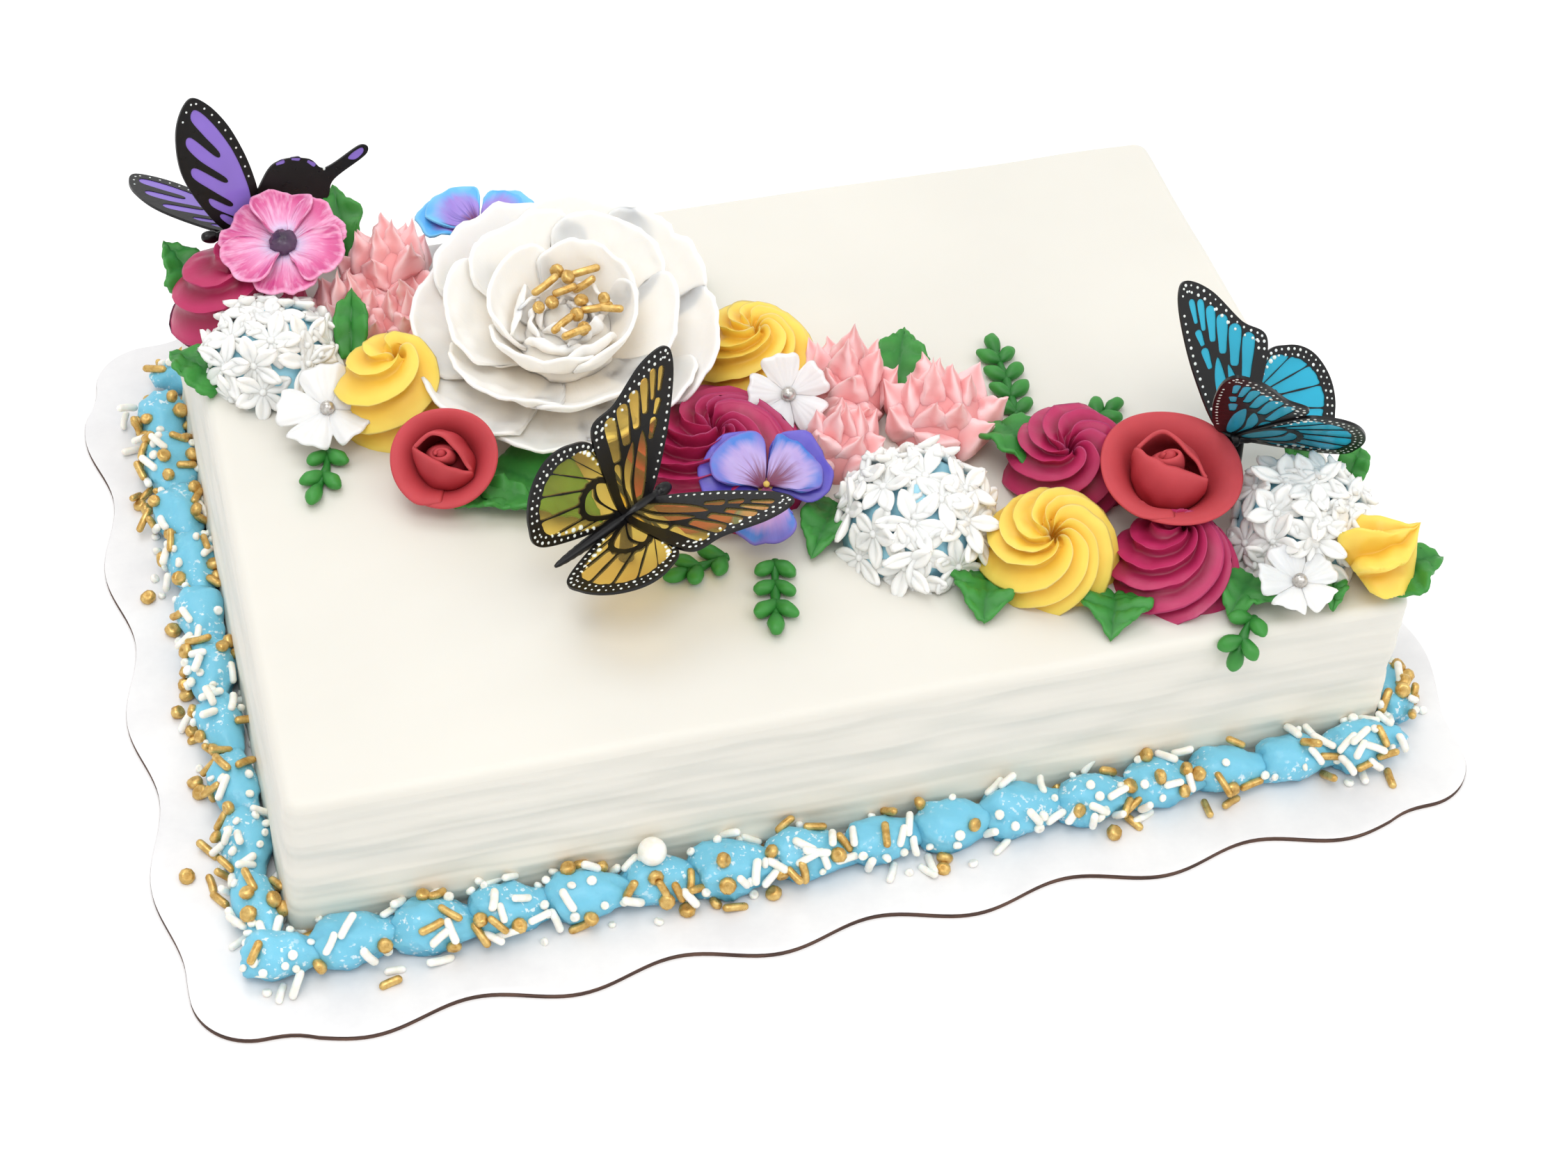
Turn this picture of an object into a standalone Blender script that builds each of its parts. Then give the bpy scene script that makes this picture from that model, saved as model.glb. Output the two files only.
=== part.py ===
"""A rectangular sheet cake on a scalloped board.

A blue bead border with sprinkles runs round the foot of the cake. A diagonal spray of piped swirls,
sugar flowers, leaves and three plastic butterflies lies on its top. Run it in Blender 4.5 with
blender --background --python part.py, or from the text editor. Units are metres, +Z is up, and the
origin is the middle of the board's underside.
"""

import math
import random

import bmesh
import bpy
from mathutils import Euler, Matrix, Vector

MM = 0.001
GAP = 0.3 * MM
WELD = 0.02 * MM
FLAT_ENOUGH = math.radians(3)

# Board: white card with a scalloped edge, measured from crest to crest.
BOARD_LENGTH = 396 * MM
BOARD_DEPTH = 302 * MM
BOARD_THICKNESS = 2.0 * MM
BOARD_CORNER_RADIUS = 18 * MM
# Gold beads that rolled onto the board: x and y from the cake's middle and the radius, in mm.
LOOSE_BEADS = ((-195, 47, 2.6), (-193, 8, 1.5), (-187, 54, 2.6), (-197, -66, 2.6))
SCALLOP_DEPTH = 6.0 * MM
SCALLOPS_ALONG = 6
SCALLOPS_ACROSS = 4
SCALLOP_SHIFT_ACROSS = 8.5 * MM

# Cake: 13 by 9 inches nominal, with walls that spread a little towards the board.
CAKE_LENGTH = 330 * MM
CAKE_DEPTH = 226 * MM
CAKE_HEIGHT = 54.8 * MM
CAKE_FLARE = 1.5 * MM
CAKE_EDGE_RADIUS = 3.5 * MM
CAKE_SHIFT = 6 * MM
CAKE_BASE = BOARD_THICKNESS + GAP
CAKE_TOP = CAKE_BASE + CAKE_HEIGHT

# Border: one row of piped beads along each side, tapering to the right as they were piped.
BEAD_SPACING = 23.6 * MM
BEAD_LENGTH = 29 * MM
BEAD_WIDTH = 20 * MM
BEAD_HEIGHT = 15.5 * MM
BEAD_TAPER = 0.3
JIMMY_LENGTH = 9 * MM
JIMMY_RADIUS = 1.15 * MM
GOLD_BEAD_RADIUS = 2.6 * MM
PEARL_RADIUS = 4.2 * MM
SPRINKLES_PER_BEAD = 0.6

# Plastic toppers.
WING_THICKNESS = 0.9 * MM
BODY_RADIUS = 2.4 * MM
PICK_RADIUS = 1.3 * MM

VIEW_SIDE = math.radians(-107.5)
LEAF_THICKNESS = 1.1 * MM

COLOURS = {
    "board": ((0.86, 0.86, 0.87), 0.6),
    "icing_white": ((0.93, 0.90, 0.80), 0.5),
    "icing_blue": ((0.20, 0.60, 0.78), 0.45),
    "icing_yellow": ((0.90, 0.66, 0.10), 0.45),
    "icing_magenta": ((0.38, 0.02, 0.10), 0.4),
    "icing_pink": ((0.85, 0.36, 0.38), 0.45),
    "icing_green": ((0.03, 0.28, 0.07), 0.4),
    "petal_white": ((0.88, 0.85, 0.77), 0.35),
    "petal_red": ((0.48, 0.05, 0.06), 0.5),
    "petal_pink": ((0.80, 0.14, 0.38), 0.4),
    "petal_violet": ((0.18, 0.22, 0.68), 0.4),
    "plastic_amber": ((0.75, 0.40, 0.03), 0.2),
    "plastic_blue": ((0.01, 0.40, 0.52), 0.2),
    "plastic_purple": ((0.24, 0.12, 0.60), 0.25),
}


def clear_scene():
    for old in list(bpy.data.objects):
        bpy.data.objects.remove(old, do_unlink=True)


def new_collection(name):
    collection = bpy.data.collections.new(name)
    bpy.context.scene.collection.children.link(collection)
    return collection


def material(name):
    found = bpy.data.materials.get(name)
    if found:
        return found
    colour, roughness = COLOURS[name]
    made = bpy.data.materials.new(name)
    made.use_nodes = True
    shader = made.node_tree.nodes["Principled BSDF"]
    shader.inputs["Base Color"].default_value = (*colour, 1.0)
    shader.inputs["Roughness"].default_value = roughness
    shader.inputs["Metallic"].default_value = 0.0
    return made


def new_object(name, bm, collection, finish=None):
    """Turn a bmesh into an object of a collection, with one material and faces pointing out."""
    bmesh.ops.recalc_face_normals(bm, faces=bm.faces)
    mesh = bpy.data.meshes.new(name)
    bm.to_mesh(mesh)
    bm.free()
    made = bpy.data.objects.new(name, mesh)
    if finish:
        made.data.materials.append(material(finish))
    collection.objects.link(made)
    return made


def evaluated_copy(piece):
    """The piece's mesh with its modifiers applied."""
    bpy.context.view_layer.update()
    graph = bpy.context.evaluated_depsgraph_get()
    return bpy.data.meshes.new_from_object(piece.evaluated_get(graph))


def apply_modifiers(piece):
    mesh = evaluated_copy(piece)
    piece.modifiers.clear()
    piece.data = mesh


def keep_largest(piece):
    """Drop the loose scraps that a cut leaves beside the main body, and join faces that lie flat."""
    bm = bmesh.new()
    bm.from_mesh(piece.data)
    bmesh.ops.remove_doubles(bm, verts=bm.verts, dist=WELD)
    bmesh.ops.dissolve_degenerate(bm, edges=bm.edges, dist=WELD / 2)
    unseen = set(bm.verts)
    islands = []
    while unseen:
        stack = [unseen.pop()]
        island = set(stack)
        while stack:
            for edge in stack.pop().link_edges:
                for vert in edge.verts:
                    if vert in unseen:
                        unseen.discard(vert)
                        island.add(vert)
                        stack.append(vert)
        islands.append(island)
    islands.sort(key=len)
    scraps = [vert for island in islands[:-1] for vert in island]
    bmesh.ops.delete(bm, geom=scraps, context="VERTS")
    bmesh.ops.dissolve_limit(bm, angle_limit=FLAT_ENOUGH, verts=bm.verts, edges=bm.edges)
    bmesh.ops.triangulate(bm, faces=bm.faces)
    bmesh.ops.recalc_face_normals(bm, faces=bm.faces)
    bm.to_mesh(piece.data)
    bm.free()


def union(name, pieces, finish):
    """Fuse several closed solids into one object by a Boolean union on a collection."""
    group = new_collection(name + "_parts")
    for piece in pieces[1:]:
        for owner in list(piece.users_collection):
            owner.objects.unlink(piece)
        group.objects.link(piece)
    base = pieces[0]
    fuse = base.modifiers.new("fuse", "BOOLEAN")
    fuse.operation = "UNION"
    fuse.operand_type = "COLLECTION"
    fuse.collection = group
    fuse.solver = "EXACT"
    apply_modifiers(base)
    base.data.transform(base.matrix_world)
    base.matrix_world = Matrix.Identity(4)
    for piece in list(group.objects):
        bpy.data.objects.remove(piece, do_unlink=True)
    bpy.data.collections.remove(group)
    base.name = name
    base.data.materials.clear()
    base.data.materials.append(material(finish))
    keep_largest(base)
    return base


def cut_plane(piece, point, normal):
    """Cut off what lies beyond a plane, on its normal's side, and close the cut."""
    bpy.context.view_layer.update()
    inverse = piece.matrix_world.inverted()
    local_point = inverse @ Vector(point)
    local_normal = (inverse.to_3x3() @ Vector(normal)).normalized()
    bm = bmesh.new()
    bm.from_mesh(piece.data)
    geometry = bm.verts[:] + bm.edges[:] + bm.faces[:]
    cut = bmesh.ops.bisect_plane(
        bm, geom=geometry, plane_co=local_point, plane_no=local_normal, clear_outer=True, dist=WELD / 2
    )
    rim = [item for item in cut["geom_cut"] if isinstance(item, bmesh.types.BMEdge)]
    if rim:
        bmesh.ops.holes_fill(bm, edges=[edge for edge in bm.edges if edge.is_boundary], sides=0)
    bmesh.ops.recalc_face_normals(bm, faces=bm.faces)
    bm.to_mesh(piece.data)
    bm.free()


def loft(rings, first, last):
    """A closed solid over rings of as many points each, with a pole point at either end."""
    bm = bmesh.new()
    loops = [[bm.verts.new(point) for point in ring] for ring in rings]
    for lower, upper in zip(loops, loops[1:]):
        for k in range(len(lower)):
            following = (k + 1) % len(lower)
            bm.faces.new((lower[k], lower[following], upper[following], upper[k]))
    for pole, ring in ((first, loops[0]), (last, loops[-1])):
        centre = bm.verts.new(pole)
        for k in range(len(ring)):
            bm.faces.new((ring[k], ring[(k + 1) % len(ring)], centre))
    return bm


def ring_of(count, radius_at, height_at, turn=0.0):
    """A ring of points whose radius and height are functions of the angle."""
    points = []
    for k in range(count):
        angle = 2 * math.pi * k / count + turn
        radius = radius_at(angle)
        points.append(Vector((radius * math.cos(angle), radius * math.sin(angle), height_at(angle))))
    return points


def tilt_towards(degrees, side=VIEW_SIDE):
    """A rotation that leans the +Z axis by an angle towards a side of the cake."""
    lean = Vector((-math.sin(side), math.cos(side), 0.0))
    return Matrix.Rotation(math.radians(degrees), 4, lean).to_euler()


def on_cake(x, y, z=0.0):
    """A point in millimetres from the middle of the cake's top, as a location on the part."""
    return Vector((x * MM + CAKE_SHIFT, y * MM, z * MM + CAKE_TOP + GAP))


# Board and cake


def board_outline():
    """Points of the scalloped edge, anticlockwise: waves on the sides and plain round corners."""
    half_length = BOARD_LENGTH / 2 - SCALLOP_DEPTH
    half_depth = BOARD_DEPTH / 2 - SCALLOP_DEPTH
    run_x = half_length - BOARD_CORNER_RADIUS
    run_y = half_depth - BOARD_CORNER_RADIUS
    fade = 14 * MM

    def wave(along, half_run, count, shift):
        phase = math.pi * count * (along - shift + half_run) / (2 * half_run)
        ends = min(1.0, (half_run - abs(along)) / fade)
        return SCALLOP_DEPTH * math.sin(phase) ** 2 * ends

    sides = (
        (0, run_x, SCALLOPS_ALONG, 0.0, half_depth),
        (90, run_y, SCALLOPS_ACROSS, SCALLOP_SHIFT_ACROSS, half_length),
        (180, run_x, SCALLOPS_ALONG, 0.0, half_depth),
        (270, run_y, SCALLOPS_ACROSS, -SCALLOP_SHIFT_ACROSS, half_length),
    )
    steps_per_scallop = 4
    corner_steps = 4
    outline = []
    for turn, run, count, shift, offset in sides:
        spin = Matrix.Rotation(math.radians(turn), 2)
        steps = steps_per_scallop * count
        for step in range(steps + 1):
            along = -run + 2 * run * step / steps
            outline.append(spin @ Vector((along, -offset - wave(along, run, count, shift))))
        centre = Vector((run, -offset + BOARD_CORNER_RADIUS))
        for step in range(1, corner_steps):
            angle = math.radians(-90 + 90 * step / corner_steps)
            reach = Vector((math.cos(angle), math.sin(angle))) * BOARD_CORNER_RADIUS
            outline.append(spin @ (centre + reach))
    return outline


def make_board(collection):
    curve = bpy.data.curves.new("board_outline", "CURVE")
    curve.dimensions = "2D"
    curve.fill_mode = "BOTH"
    curve.extrude = BOARD_THICKNESS / 2
    points = board_outline()
    spline = curve.splines.new("POLY")
    spline.points.add(len(points) - 1)
    for slot, point in zip(spline.points, points):
        slot.co = (point.x, point.y, 0.0, 1.0)
    spline.use_cyclic_u = True
    outline = bpy.data.objects.new("board_outline", curve)
    outline.location.z = BOARD_THICKNESS / 2
    collection.objects.link(outline)
    mesh = evaluated_copy(outline)
    board = bpy.data.objects.new("board", mesh)
    board.matrix_world = outline.matrix_world
    collection.objects.link(board)
    bpy.data.objects.remove(outline, do_unlink=True)
    bm = bmesh.new()
    bm.from_mesh(board.data)
    bmesh.ops.remove_doubles(bm, verts=bm.verts, dist=WELD)
    bm.to_mesh(board.data)
    bm.free()
    pieces = [board]
    for x, y, size in LOOSE_BEADS:
        bm = bmesh.new()
        bmesh.ops.create_icosphere(bm, subdivisions=1, radius=size * MM)
        bead = new_object("loose_bead", bm, collection)
        bead.location = (x * MM + CAKE_SHIFT, y * MM, BOARD_THICKNESS + size * 0.7 * MM)
        pieces.append(bead)
    return union("board", pieces, "board")


def make_cake(name, collection, grow=0.0):
    """The iced block; the same shape grown a little is the cutter for what hangs over its edge."""
    bm = bmesh.new()
    bmesh.ops.create_cube(bm, size=1.0)
    for vert in bm.verts:
        spread = grow + (CAKE_FLARE if vert.co.z < 0 else 0.0)
        vert.co.x = math.copysign(CAKE_LENGTH / 2 + spread, vert.co.x)
        vert.co.y = math.copysign(CAKE_DEPTH / 2 + spread, vert.co.y)
        vert.co.z = math.copysign(CAKE_HEIGHT / 2 + grow, vert.co.z)
    cake = new_object(name, bm, collection, "icing_white")
    cake.location = (CAKE_SHIFT, 0.0, CAKE_BASE + CAKE_HEIGHT / 2)
    bevel = cake.modifiers.new("rounded_edges", "BEVEL")
    bevel.width = CAKE_EDGE_RADIUS
    bevel.segments = 2
    return cake


# Border


def bead_solid(name, collection, width_scale):
    """One piped bead lying along X: a flattened ball whose +X end is drawn out thinner."""
    bm = bmesh.new()
    bmesh.ops.create_uvsphere(bm, u_segments=6, v_segments=3, radius=0.55)
    for vert in bm.verts:
        lengthwise = -vert.co.z
        thinning = 1.0 - BEAD_TAPER * max(0.0, 2 * lengthwise)
        vert.co = (
            lengthwise * BEAD_LENGTH,
            vert.co.y * BEAD_WIDTH * width_scale * thinning,
            vert.co.x * BEAD_HEIGHT * width_scale * thinning,
        )
    return new_object(name, bm, collection)


def sprinkle_solid(kind, collection):
    bm = bmesh.new()
    if kind == "jimmy":
        ends = {"radius1": JIMMY_RADIUS, "radius2": JIMMY_RADIUS}
        bmesh.ops.create_cone(bm, cap_ends=True, segments=4, depth=JIMMY_LENGTH, **ends)
    else:
        size = GOLD_BEAD_RADIUS if kind == "gold" else PEARL_RADIUS
        bmesh.ops.create_icosphere(bm, subdivisions=1, radius=size)
    return new_object("sprinkle", bm, collection)


def make_border(name, length, inset, turn, collection, seed, pearl_at=None):
    """A strip of beads along one side, made along X with the cake's wall at y = 0, then turned."""
    rng = random.Random(seed)
    count = round(length / BEAD_SPACING)
    reach_out = BEAD_WIDTH * 0.36
    rise = BEAD_HEIGHT * 0.36
    pieces = []
    for index in range(count):
        x = (index - (count - 1) / 2) * length / count
        bead = bead_solid("bead", collection, rng.uniform(0.94, 1.06))
        bead.location = (x, -reach_out + rng.uniform(-0.4, 0.4) * MM, rise + rng.uniform(-0.3, 0.3) * MM)
        bead.rotation_euler = (rng.uniform(-0.4, 0.4), rng.uniform(-0.05, 0.05), rng.uniform(-0.08, 0.08))
        pieces.append(bead)
    places = int(count * SPRINKLES_PER_BEAD)
    for index in range(places):
        x = (index + 0.5 - places / 2) * length / places + rng.uniform(-3, 3) * MM
        kind = "gold" if index % 3 == 1 else "jimmy"
        lean = math.radians(rng.uniform(15, 75))
        piece = sprinkle_solid(kind, collection)
        offset = Vector((0.0, -math.cos(lean) * BEAD_WIDTH * 0.46, math.sin(lean) * BEAD_HEIGHT * 0.46))
        piece.location = Vector((x, -reach_out, rise)) + offset
        piece.rotation_euler = (lean, math.radians(90 + rng.uniform(-40, 40)), rng.uniform(-0.9, 0.9))
        pieces.append(piece)
    if pearl_at is not None:
        pearl = sprinkle_solid("pearl", collection)
        pearl.location = (pearl_at, -reach_out - 3 * MM, rise + BEAD_HEIGHT * 0.52)
        pieces.append(pearl)
    strip = union(name, pieces, "icing_blue")
    wall_slope = math.atan2(CAKE_FLARE, CAKE_HEIGHT)
    cut_plane(strip, (0, -GAP, 0), (0, math.cos(wall_slope), math.sin(wall_slope)))
    cut_plane(strip, (0, 0, 0), (0, 0, -1))
    spin = Matrix.Rotation(math.radians(turn), 4, "Z")
    strip.rotation_euler = spin.to_euler()
    shift = Vector((CAKE_SHIFT, 0.0, BOARD_THICKNESS + GAP))
    strip.location = spin @ Vector((0.0, -inset, 0.0)) + shift
    return strip


def make_borders(collection):
    """Front and back strips run past the corners, and the side strips end against them."""
    half_length = CAKE_LENGTH / 2 + CAKE_FLARE
    half_depth = CAKE_DEPTH / 2 + CAKE_FLARE
    long_run = 2 * half_length + BEAD_WIDTH * 1.3
    short_run = 2 * half_depth
    front = make_border("border_front", long_run, half_depth, 0, collection, 11, pearl_at=-40 * MM)
    right = make_border("border_right", short_run, half_length, 90, collection, 12)
    back = make_border("border_back", long_run, half_depth, 180, collection, 13)
    left = make_border("border_left", short_run, half_length, 270, collection, 14)
    seam = half_depth
    for strip in (left, right):
        cut_plane(strip, (0, seam, 0), (0, 1, 0))
        cut_plane(strip, (0, -seam, 0), (0, -1, 0))
    cut_plane(front, (0, -seam - GAP, 0), (0, 1, 0))
    cut_plane(back, (0, seam + GAP, 0), (0, -1, 0))
    for strip in (front, right, back, left):
        keep_largest(strip)


# Piped swirls and flowers, each standing on its own z = 0


def blocky(t, power):
    """Radius fraction of a dome at a height fraction t, fuller than a half sphere."""
    return (1.0 - t**power) ** (1.0 / power)


def swirl(radius, height, ridges, twist, depth=0.3, power=2.2):
    """A star-tip rosette: a dome whose ridges wind up to the middle."""
    levels = (0.0, 0.28, 0.58, 0.82, 0.96)
    rings = []
    for level in levels:
        base = max(0.16, blocky(level, power))
        turn = math.radians(twist) * (1.0 - base)

        def radius_at(angle, base=base, turn=turn):
            crest = abs(math.cos(ridges * (angle - turn) / 2))
            return radius * base * (1.0 - depth * (1.0 - crest))

        rings.append(ring_of(2 * ridges, radius_at, lambda angle, z=level: height * z, turn))
    return loft(rings, Vector((0, 0, 0)), Vector((0, 0, height * 0.93)))


def stacked_swirl(radius, height, wraps):
    """A tall swirl of several stacked wraps, each a rounded roll smaller than the one below."""
    around = 12
    rings = []
    steps = 3
    for wrap in range(wraps):
        roll = radius * (1.0 - 0.2 * wrap)
        for step in range(steps):
            level = (wrap + step / steps) / wraps
            bulge = 0.86 + 0.14 * math.sin(math.pi * (step + 0.4) / steps)
            rings.append(
                ring_of(
                    around,
                    lambda angle, r=roll * bulge, w=wrap: r * (1 + 0.05 * math.cos(angle * 2 + w)),
                    lambda angle, z=level: height * z + (radius * 0.06 * math.sin(angle) if z else 0.0),
                )
            )
    rings.append(ring_of(around, lambda angle: radius * 0.2, lambda angle: height * 0.96))
    return loft(rings, Vector((0, 0, 0)), Vector((0, 0, height)))


def star_blossom_mound(radius, height, petals):
    """A short pulled star with a few deep petals."""
    rings = []
    for level, base in ((0.0, 1.0), (0.3, 0.92), (0.6, 0.62), (0.85, 0.34)):

        def radius_at(angle, base=base):
            return radius * base * (0.72 + 0.28 * abs(math.cos(petals * angle / 2)))

        rings.append(ring_of(petals * 2, radius_at, lambda angle, z=level: height * z, level * 0.5))
    return loft(rings, Vector((0, 0, 0)), Vector((0, 0, height)))


def pointed_cluster(radius, height, petals):
    """A mound of pointed piped petals in staggered rings."""
    rings = []
    levels = ((0.0, 1.0, 0.02), (0.24, 0.98, 0.2), (0.54, 0.74, 0.26), (0.82, 0.36, 0.22))
    for index, (level, base, spike) in enumerate(levels):
        points = []
        for k in range(2 * petals):
            angle = math.pi * k / petals
            tip = (k + index) % 2 == 0
            reach = radius * (base * (1.0 if tip else 0.8) + (spike * 0.45 if tip else 0.0))
            lift = height * (level + (spike * 0.8 if tip and index else 0.0))
            points.append(Vector((reach * math.cos(angle), reach * math.sin(angle), lift)))
        rings.append(points)
    return loft(rings, Vector((0, 0, 0)), Vector((0, 0, height)))


def petal_rings(layers, around, stem_radius, cup, middle):
    """A flower of petal layers: a stem foot, a cup under the outer rim, then rims and valleys inward.

    Each layer is (radius, height, petals, lobe, wave, valley radius, valley height).
    """
    cup_radius, cup_height = cup
    rings = [ring_of(around, lambda angle: stem_radius, lambda angle: 0.0)]
    rings.append(ring_of(around, lambda angle: cup_radius, lambda angle: cup_height))
    for index, (radius, height, petals, lobe, wave, inner, low) in enumerate(layers):

        def shape(angle, petals=petals, index=index):
            return abs(math.cos(petals * angle / 2 + index * 0.9))

        rings.append(
            ring_of(
                around,
                lambda a, r=radius, s=shape, d=lobe: r * (1 - d + d * s(a)),
                lambda a, z=height, s=shape, d=wave: z + d * (s(a) - 0.5),
            )
        )
        rings.append(ring_of(around, lambda a, r=inner: r, lambda a, z=low: z))
    return loft(rings, Vector((0, 0, 0)), Vector((0, 0, middle)))


def peony():
    """The big white flower: five rows of cupped petals, about 92 mm across."""
    layers = (
        (46 * MM, 17 * MM, 7, 0.12, 5 * MM, 39 * MM, 13 * MM),
        (39 * MM, 24 * MM, 7, 0.10, 5 * MM, 31 * MM, 17 * MM),
        (30 * MM, 29 * MM, 6, 0.10, 4 * MM, 23 * MM, 20 * MM),
        (21 * MM, 31 * MM, 5, 0.10, 4 * MM, 14 * MM, 23 * MM),
    )
    return petal_rings(layers, 22, 14 * MM, (34 * MM, 7 * MM), 27 * MM)


def rose(radius, height):
    """A ribbon rose: a flared outer petal, a wrapped inner petal and a bud."""
    layers = (
        (radius, 0.82 * height, 3, 0.05, 0.08 * height, radius * 0.68, 0.72 * height),
        (radius * 0.56, 0.98 * height, 3, 0.12, 0.10 * height, radius * 0.36, 0.70 * height),
        (radius * 0.24, height, 2, 0.2, 0.06 * height, radius * 0.12, 0.9 * height),
    )
    return petal_rings(layers, 14, radius * 0.3, (radius * 0.62, 0.3 * height), 0.94 * height)


def ruffled_flower(radius, height, stem, lobes=5, around=10, notch=0.2, bump=2.3 * MM):
    """A shallow flower with ruffled lobes, a ball in its middle and a foot of icing below."""
    layers = (
        (radius, height, lobes, notch, height * 0.2, radius * 0.5, height * 0.72),
        (bump, height * 0.85, 1, 0.0, 0.0, bump * 0.8, height * 0.85 + bump * 0.8),
    )
    return petal_rings(layers, around, stem, (radius * 0.55, height * 0.55), height * 0.85 + bump)


def pansy(radius, height):
    """A five-petal pansy: broad upper and side petals, a notch each side and one petal below."""
    around = 15

    def outline(angle):
        lower = 0.12 * math.cos(angle + math.pi / 2)
        return 1.0 - 0.18 * (1 - abs(math.cos(2.5 * (angle - math.pi / 2)))) - max(0.0, lower)

    rings = [
        ring_of(around, lambda a: radius * 0.2, lambda a: 0.0),
        ring_of(around, lambda a: radius * 0.55, lambda a: height * 0.62),
        ring_of(around, lambda a: radius * outline(a), lambda a: height * 0.8),
        ring_of(around, lambda a: radius * 0.93 * outline(a), lambda a: height),
        ring_of(around, lambda a: radius * 0.45, lambda a: height * 0.96),
    ]
    return loft(rings, Vector((0, 0, 0)), Vector((0, 0, height * 0.86)))


def dome(radius, height, around, power=2.6):
    rings = []
    for level in (0.0, 0.35, 0.68, 0.9):
        base = blocky(level, power)
        rings.append(ring_of(around, lambda a, r=base: radius * r, lambda a, z=level: height * z))
    return loft(rings, Vector((0, 0, 0)), Vector((0, 0, height)))


def floret(radius):
    """A five-petal star, slightly hollow, on a short stub."""
    star = ring_of(
        10,
        lambda a: radius * (0.76 + 0.24 * math.cos(5 * a)),
        lambda a: radius * (0.12 + 0.12 * math.cos(5 * a)),
    )
    stub = Vector((0, 0, -radius * 0.5))
    return loft([star], stub, Vector((0, 0, radius * 0.22)))


def make_hydrangea(name, place, radius, height, collection, florets, seed):
    """A mound crowded with star florets that face outward."""
    rng = random.Random(seed)
    core = new_object(name, dome(radius * 0.9, height * 0.9, 11), collection)
    core.location = place
    pieces = [core]
    golden = math.radians(137.5)
    for index in range(florets):
        level = 0.12 + 0.86 * (index + 0.5) / florets
        angle = index * golden + rng.uniform(-0.15, 0.15)
        reach = radius * 0.9 * blocky(level, 2.6)
        spot = Vector((reach * math.cos(angle), reach * math.sin(angle), height * 0.9 * level))
        outward = Vector((math.cos(angle) * (1.02 - level), math.sin(angle) * (1.02 - level), level))
        flower = new_object("floret", floret(radius * 0.34), collection)
        flower.location = place + spot
        turn = Matrix.Rotation(rng.uniform(0, 2), 4, "Z")
        flower.rotation_euler = (outward.to_track_quat("Z", "Y").to_matrix().to_4x4() @ turn).to_euler()
        pieces.append(flower)
    made = union(name, pieces, "icing_white")
    cut_plane(made, place, (0, 0, -1))
    return made


# Leaves and sprigs


def make_leaf(name, root, tip, width, collection, thickness=LEAF_THICKNESS):
    """A thin wavy leaf from its root to its tip, folded a little along the midrib."""
    start = on_cake(*root) + Vector((0, 0, LEAF_THICKNESS))
    end = on_cake(*tip) + Vector((0, 0, LEAF_THICKNESS))
    run = end - start
    across = Vector((-run.y, run.x, 0)).normalized()
    half = width * MM / 2
    stations = 5
    bm = bmesh.new()
    rows = []
    for index in range(stations):
        t = index / (stations - 1)
        swell = math.sin(math.pi * (0.16 + 0.84 * t) ** 0.9) if t < 1 else 0.0
        spread = max(0.5 * MM, half * swell)
        arch = Vector((0, 0, 2.2 * MM * math.sin(math.pi * t)))
        ripple = 0.9 * MM * (1 if index % 2 else -0.2)
        middle = start + run * t + arch
        edge_lift = Vector((0, 0, 1.0 * MM * swell + ripple * swell))
        row = (middle - across * spread + edge_lift, middle, middle + across * spread + edge_lift)
        rows.append([bm.verts.new(point) for point in row])
    for near, far in zip(rows, rows[1:]):
        for side in (0, 1):
            bm.faces.new((near[side], near[side + 1], far[side + 1], far[side]))
    bmesh.ops.triangulate(bm, faces=bm.faces)
    leaf = new_object(name, bm, collection, "icing_green")
    thicken = leaf.modifiers.new("thickness", "SOLIDIFY")
    thicken.thickness = thickness
    thicken.offset = 0.0
    thicken.use_even_offset = False
    apply_modifiers(leaf)
    keep_largest(leaf)
    return leaf


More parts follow.
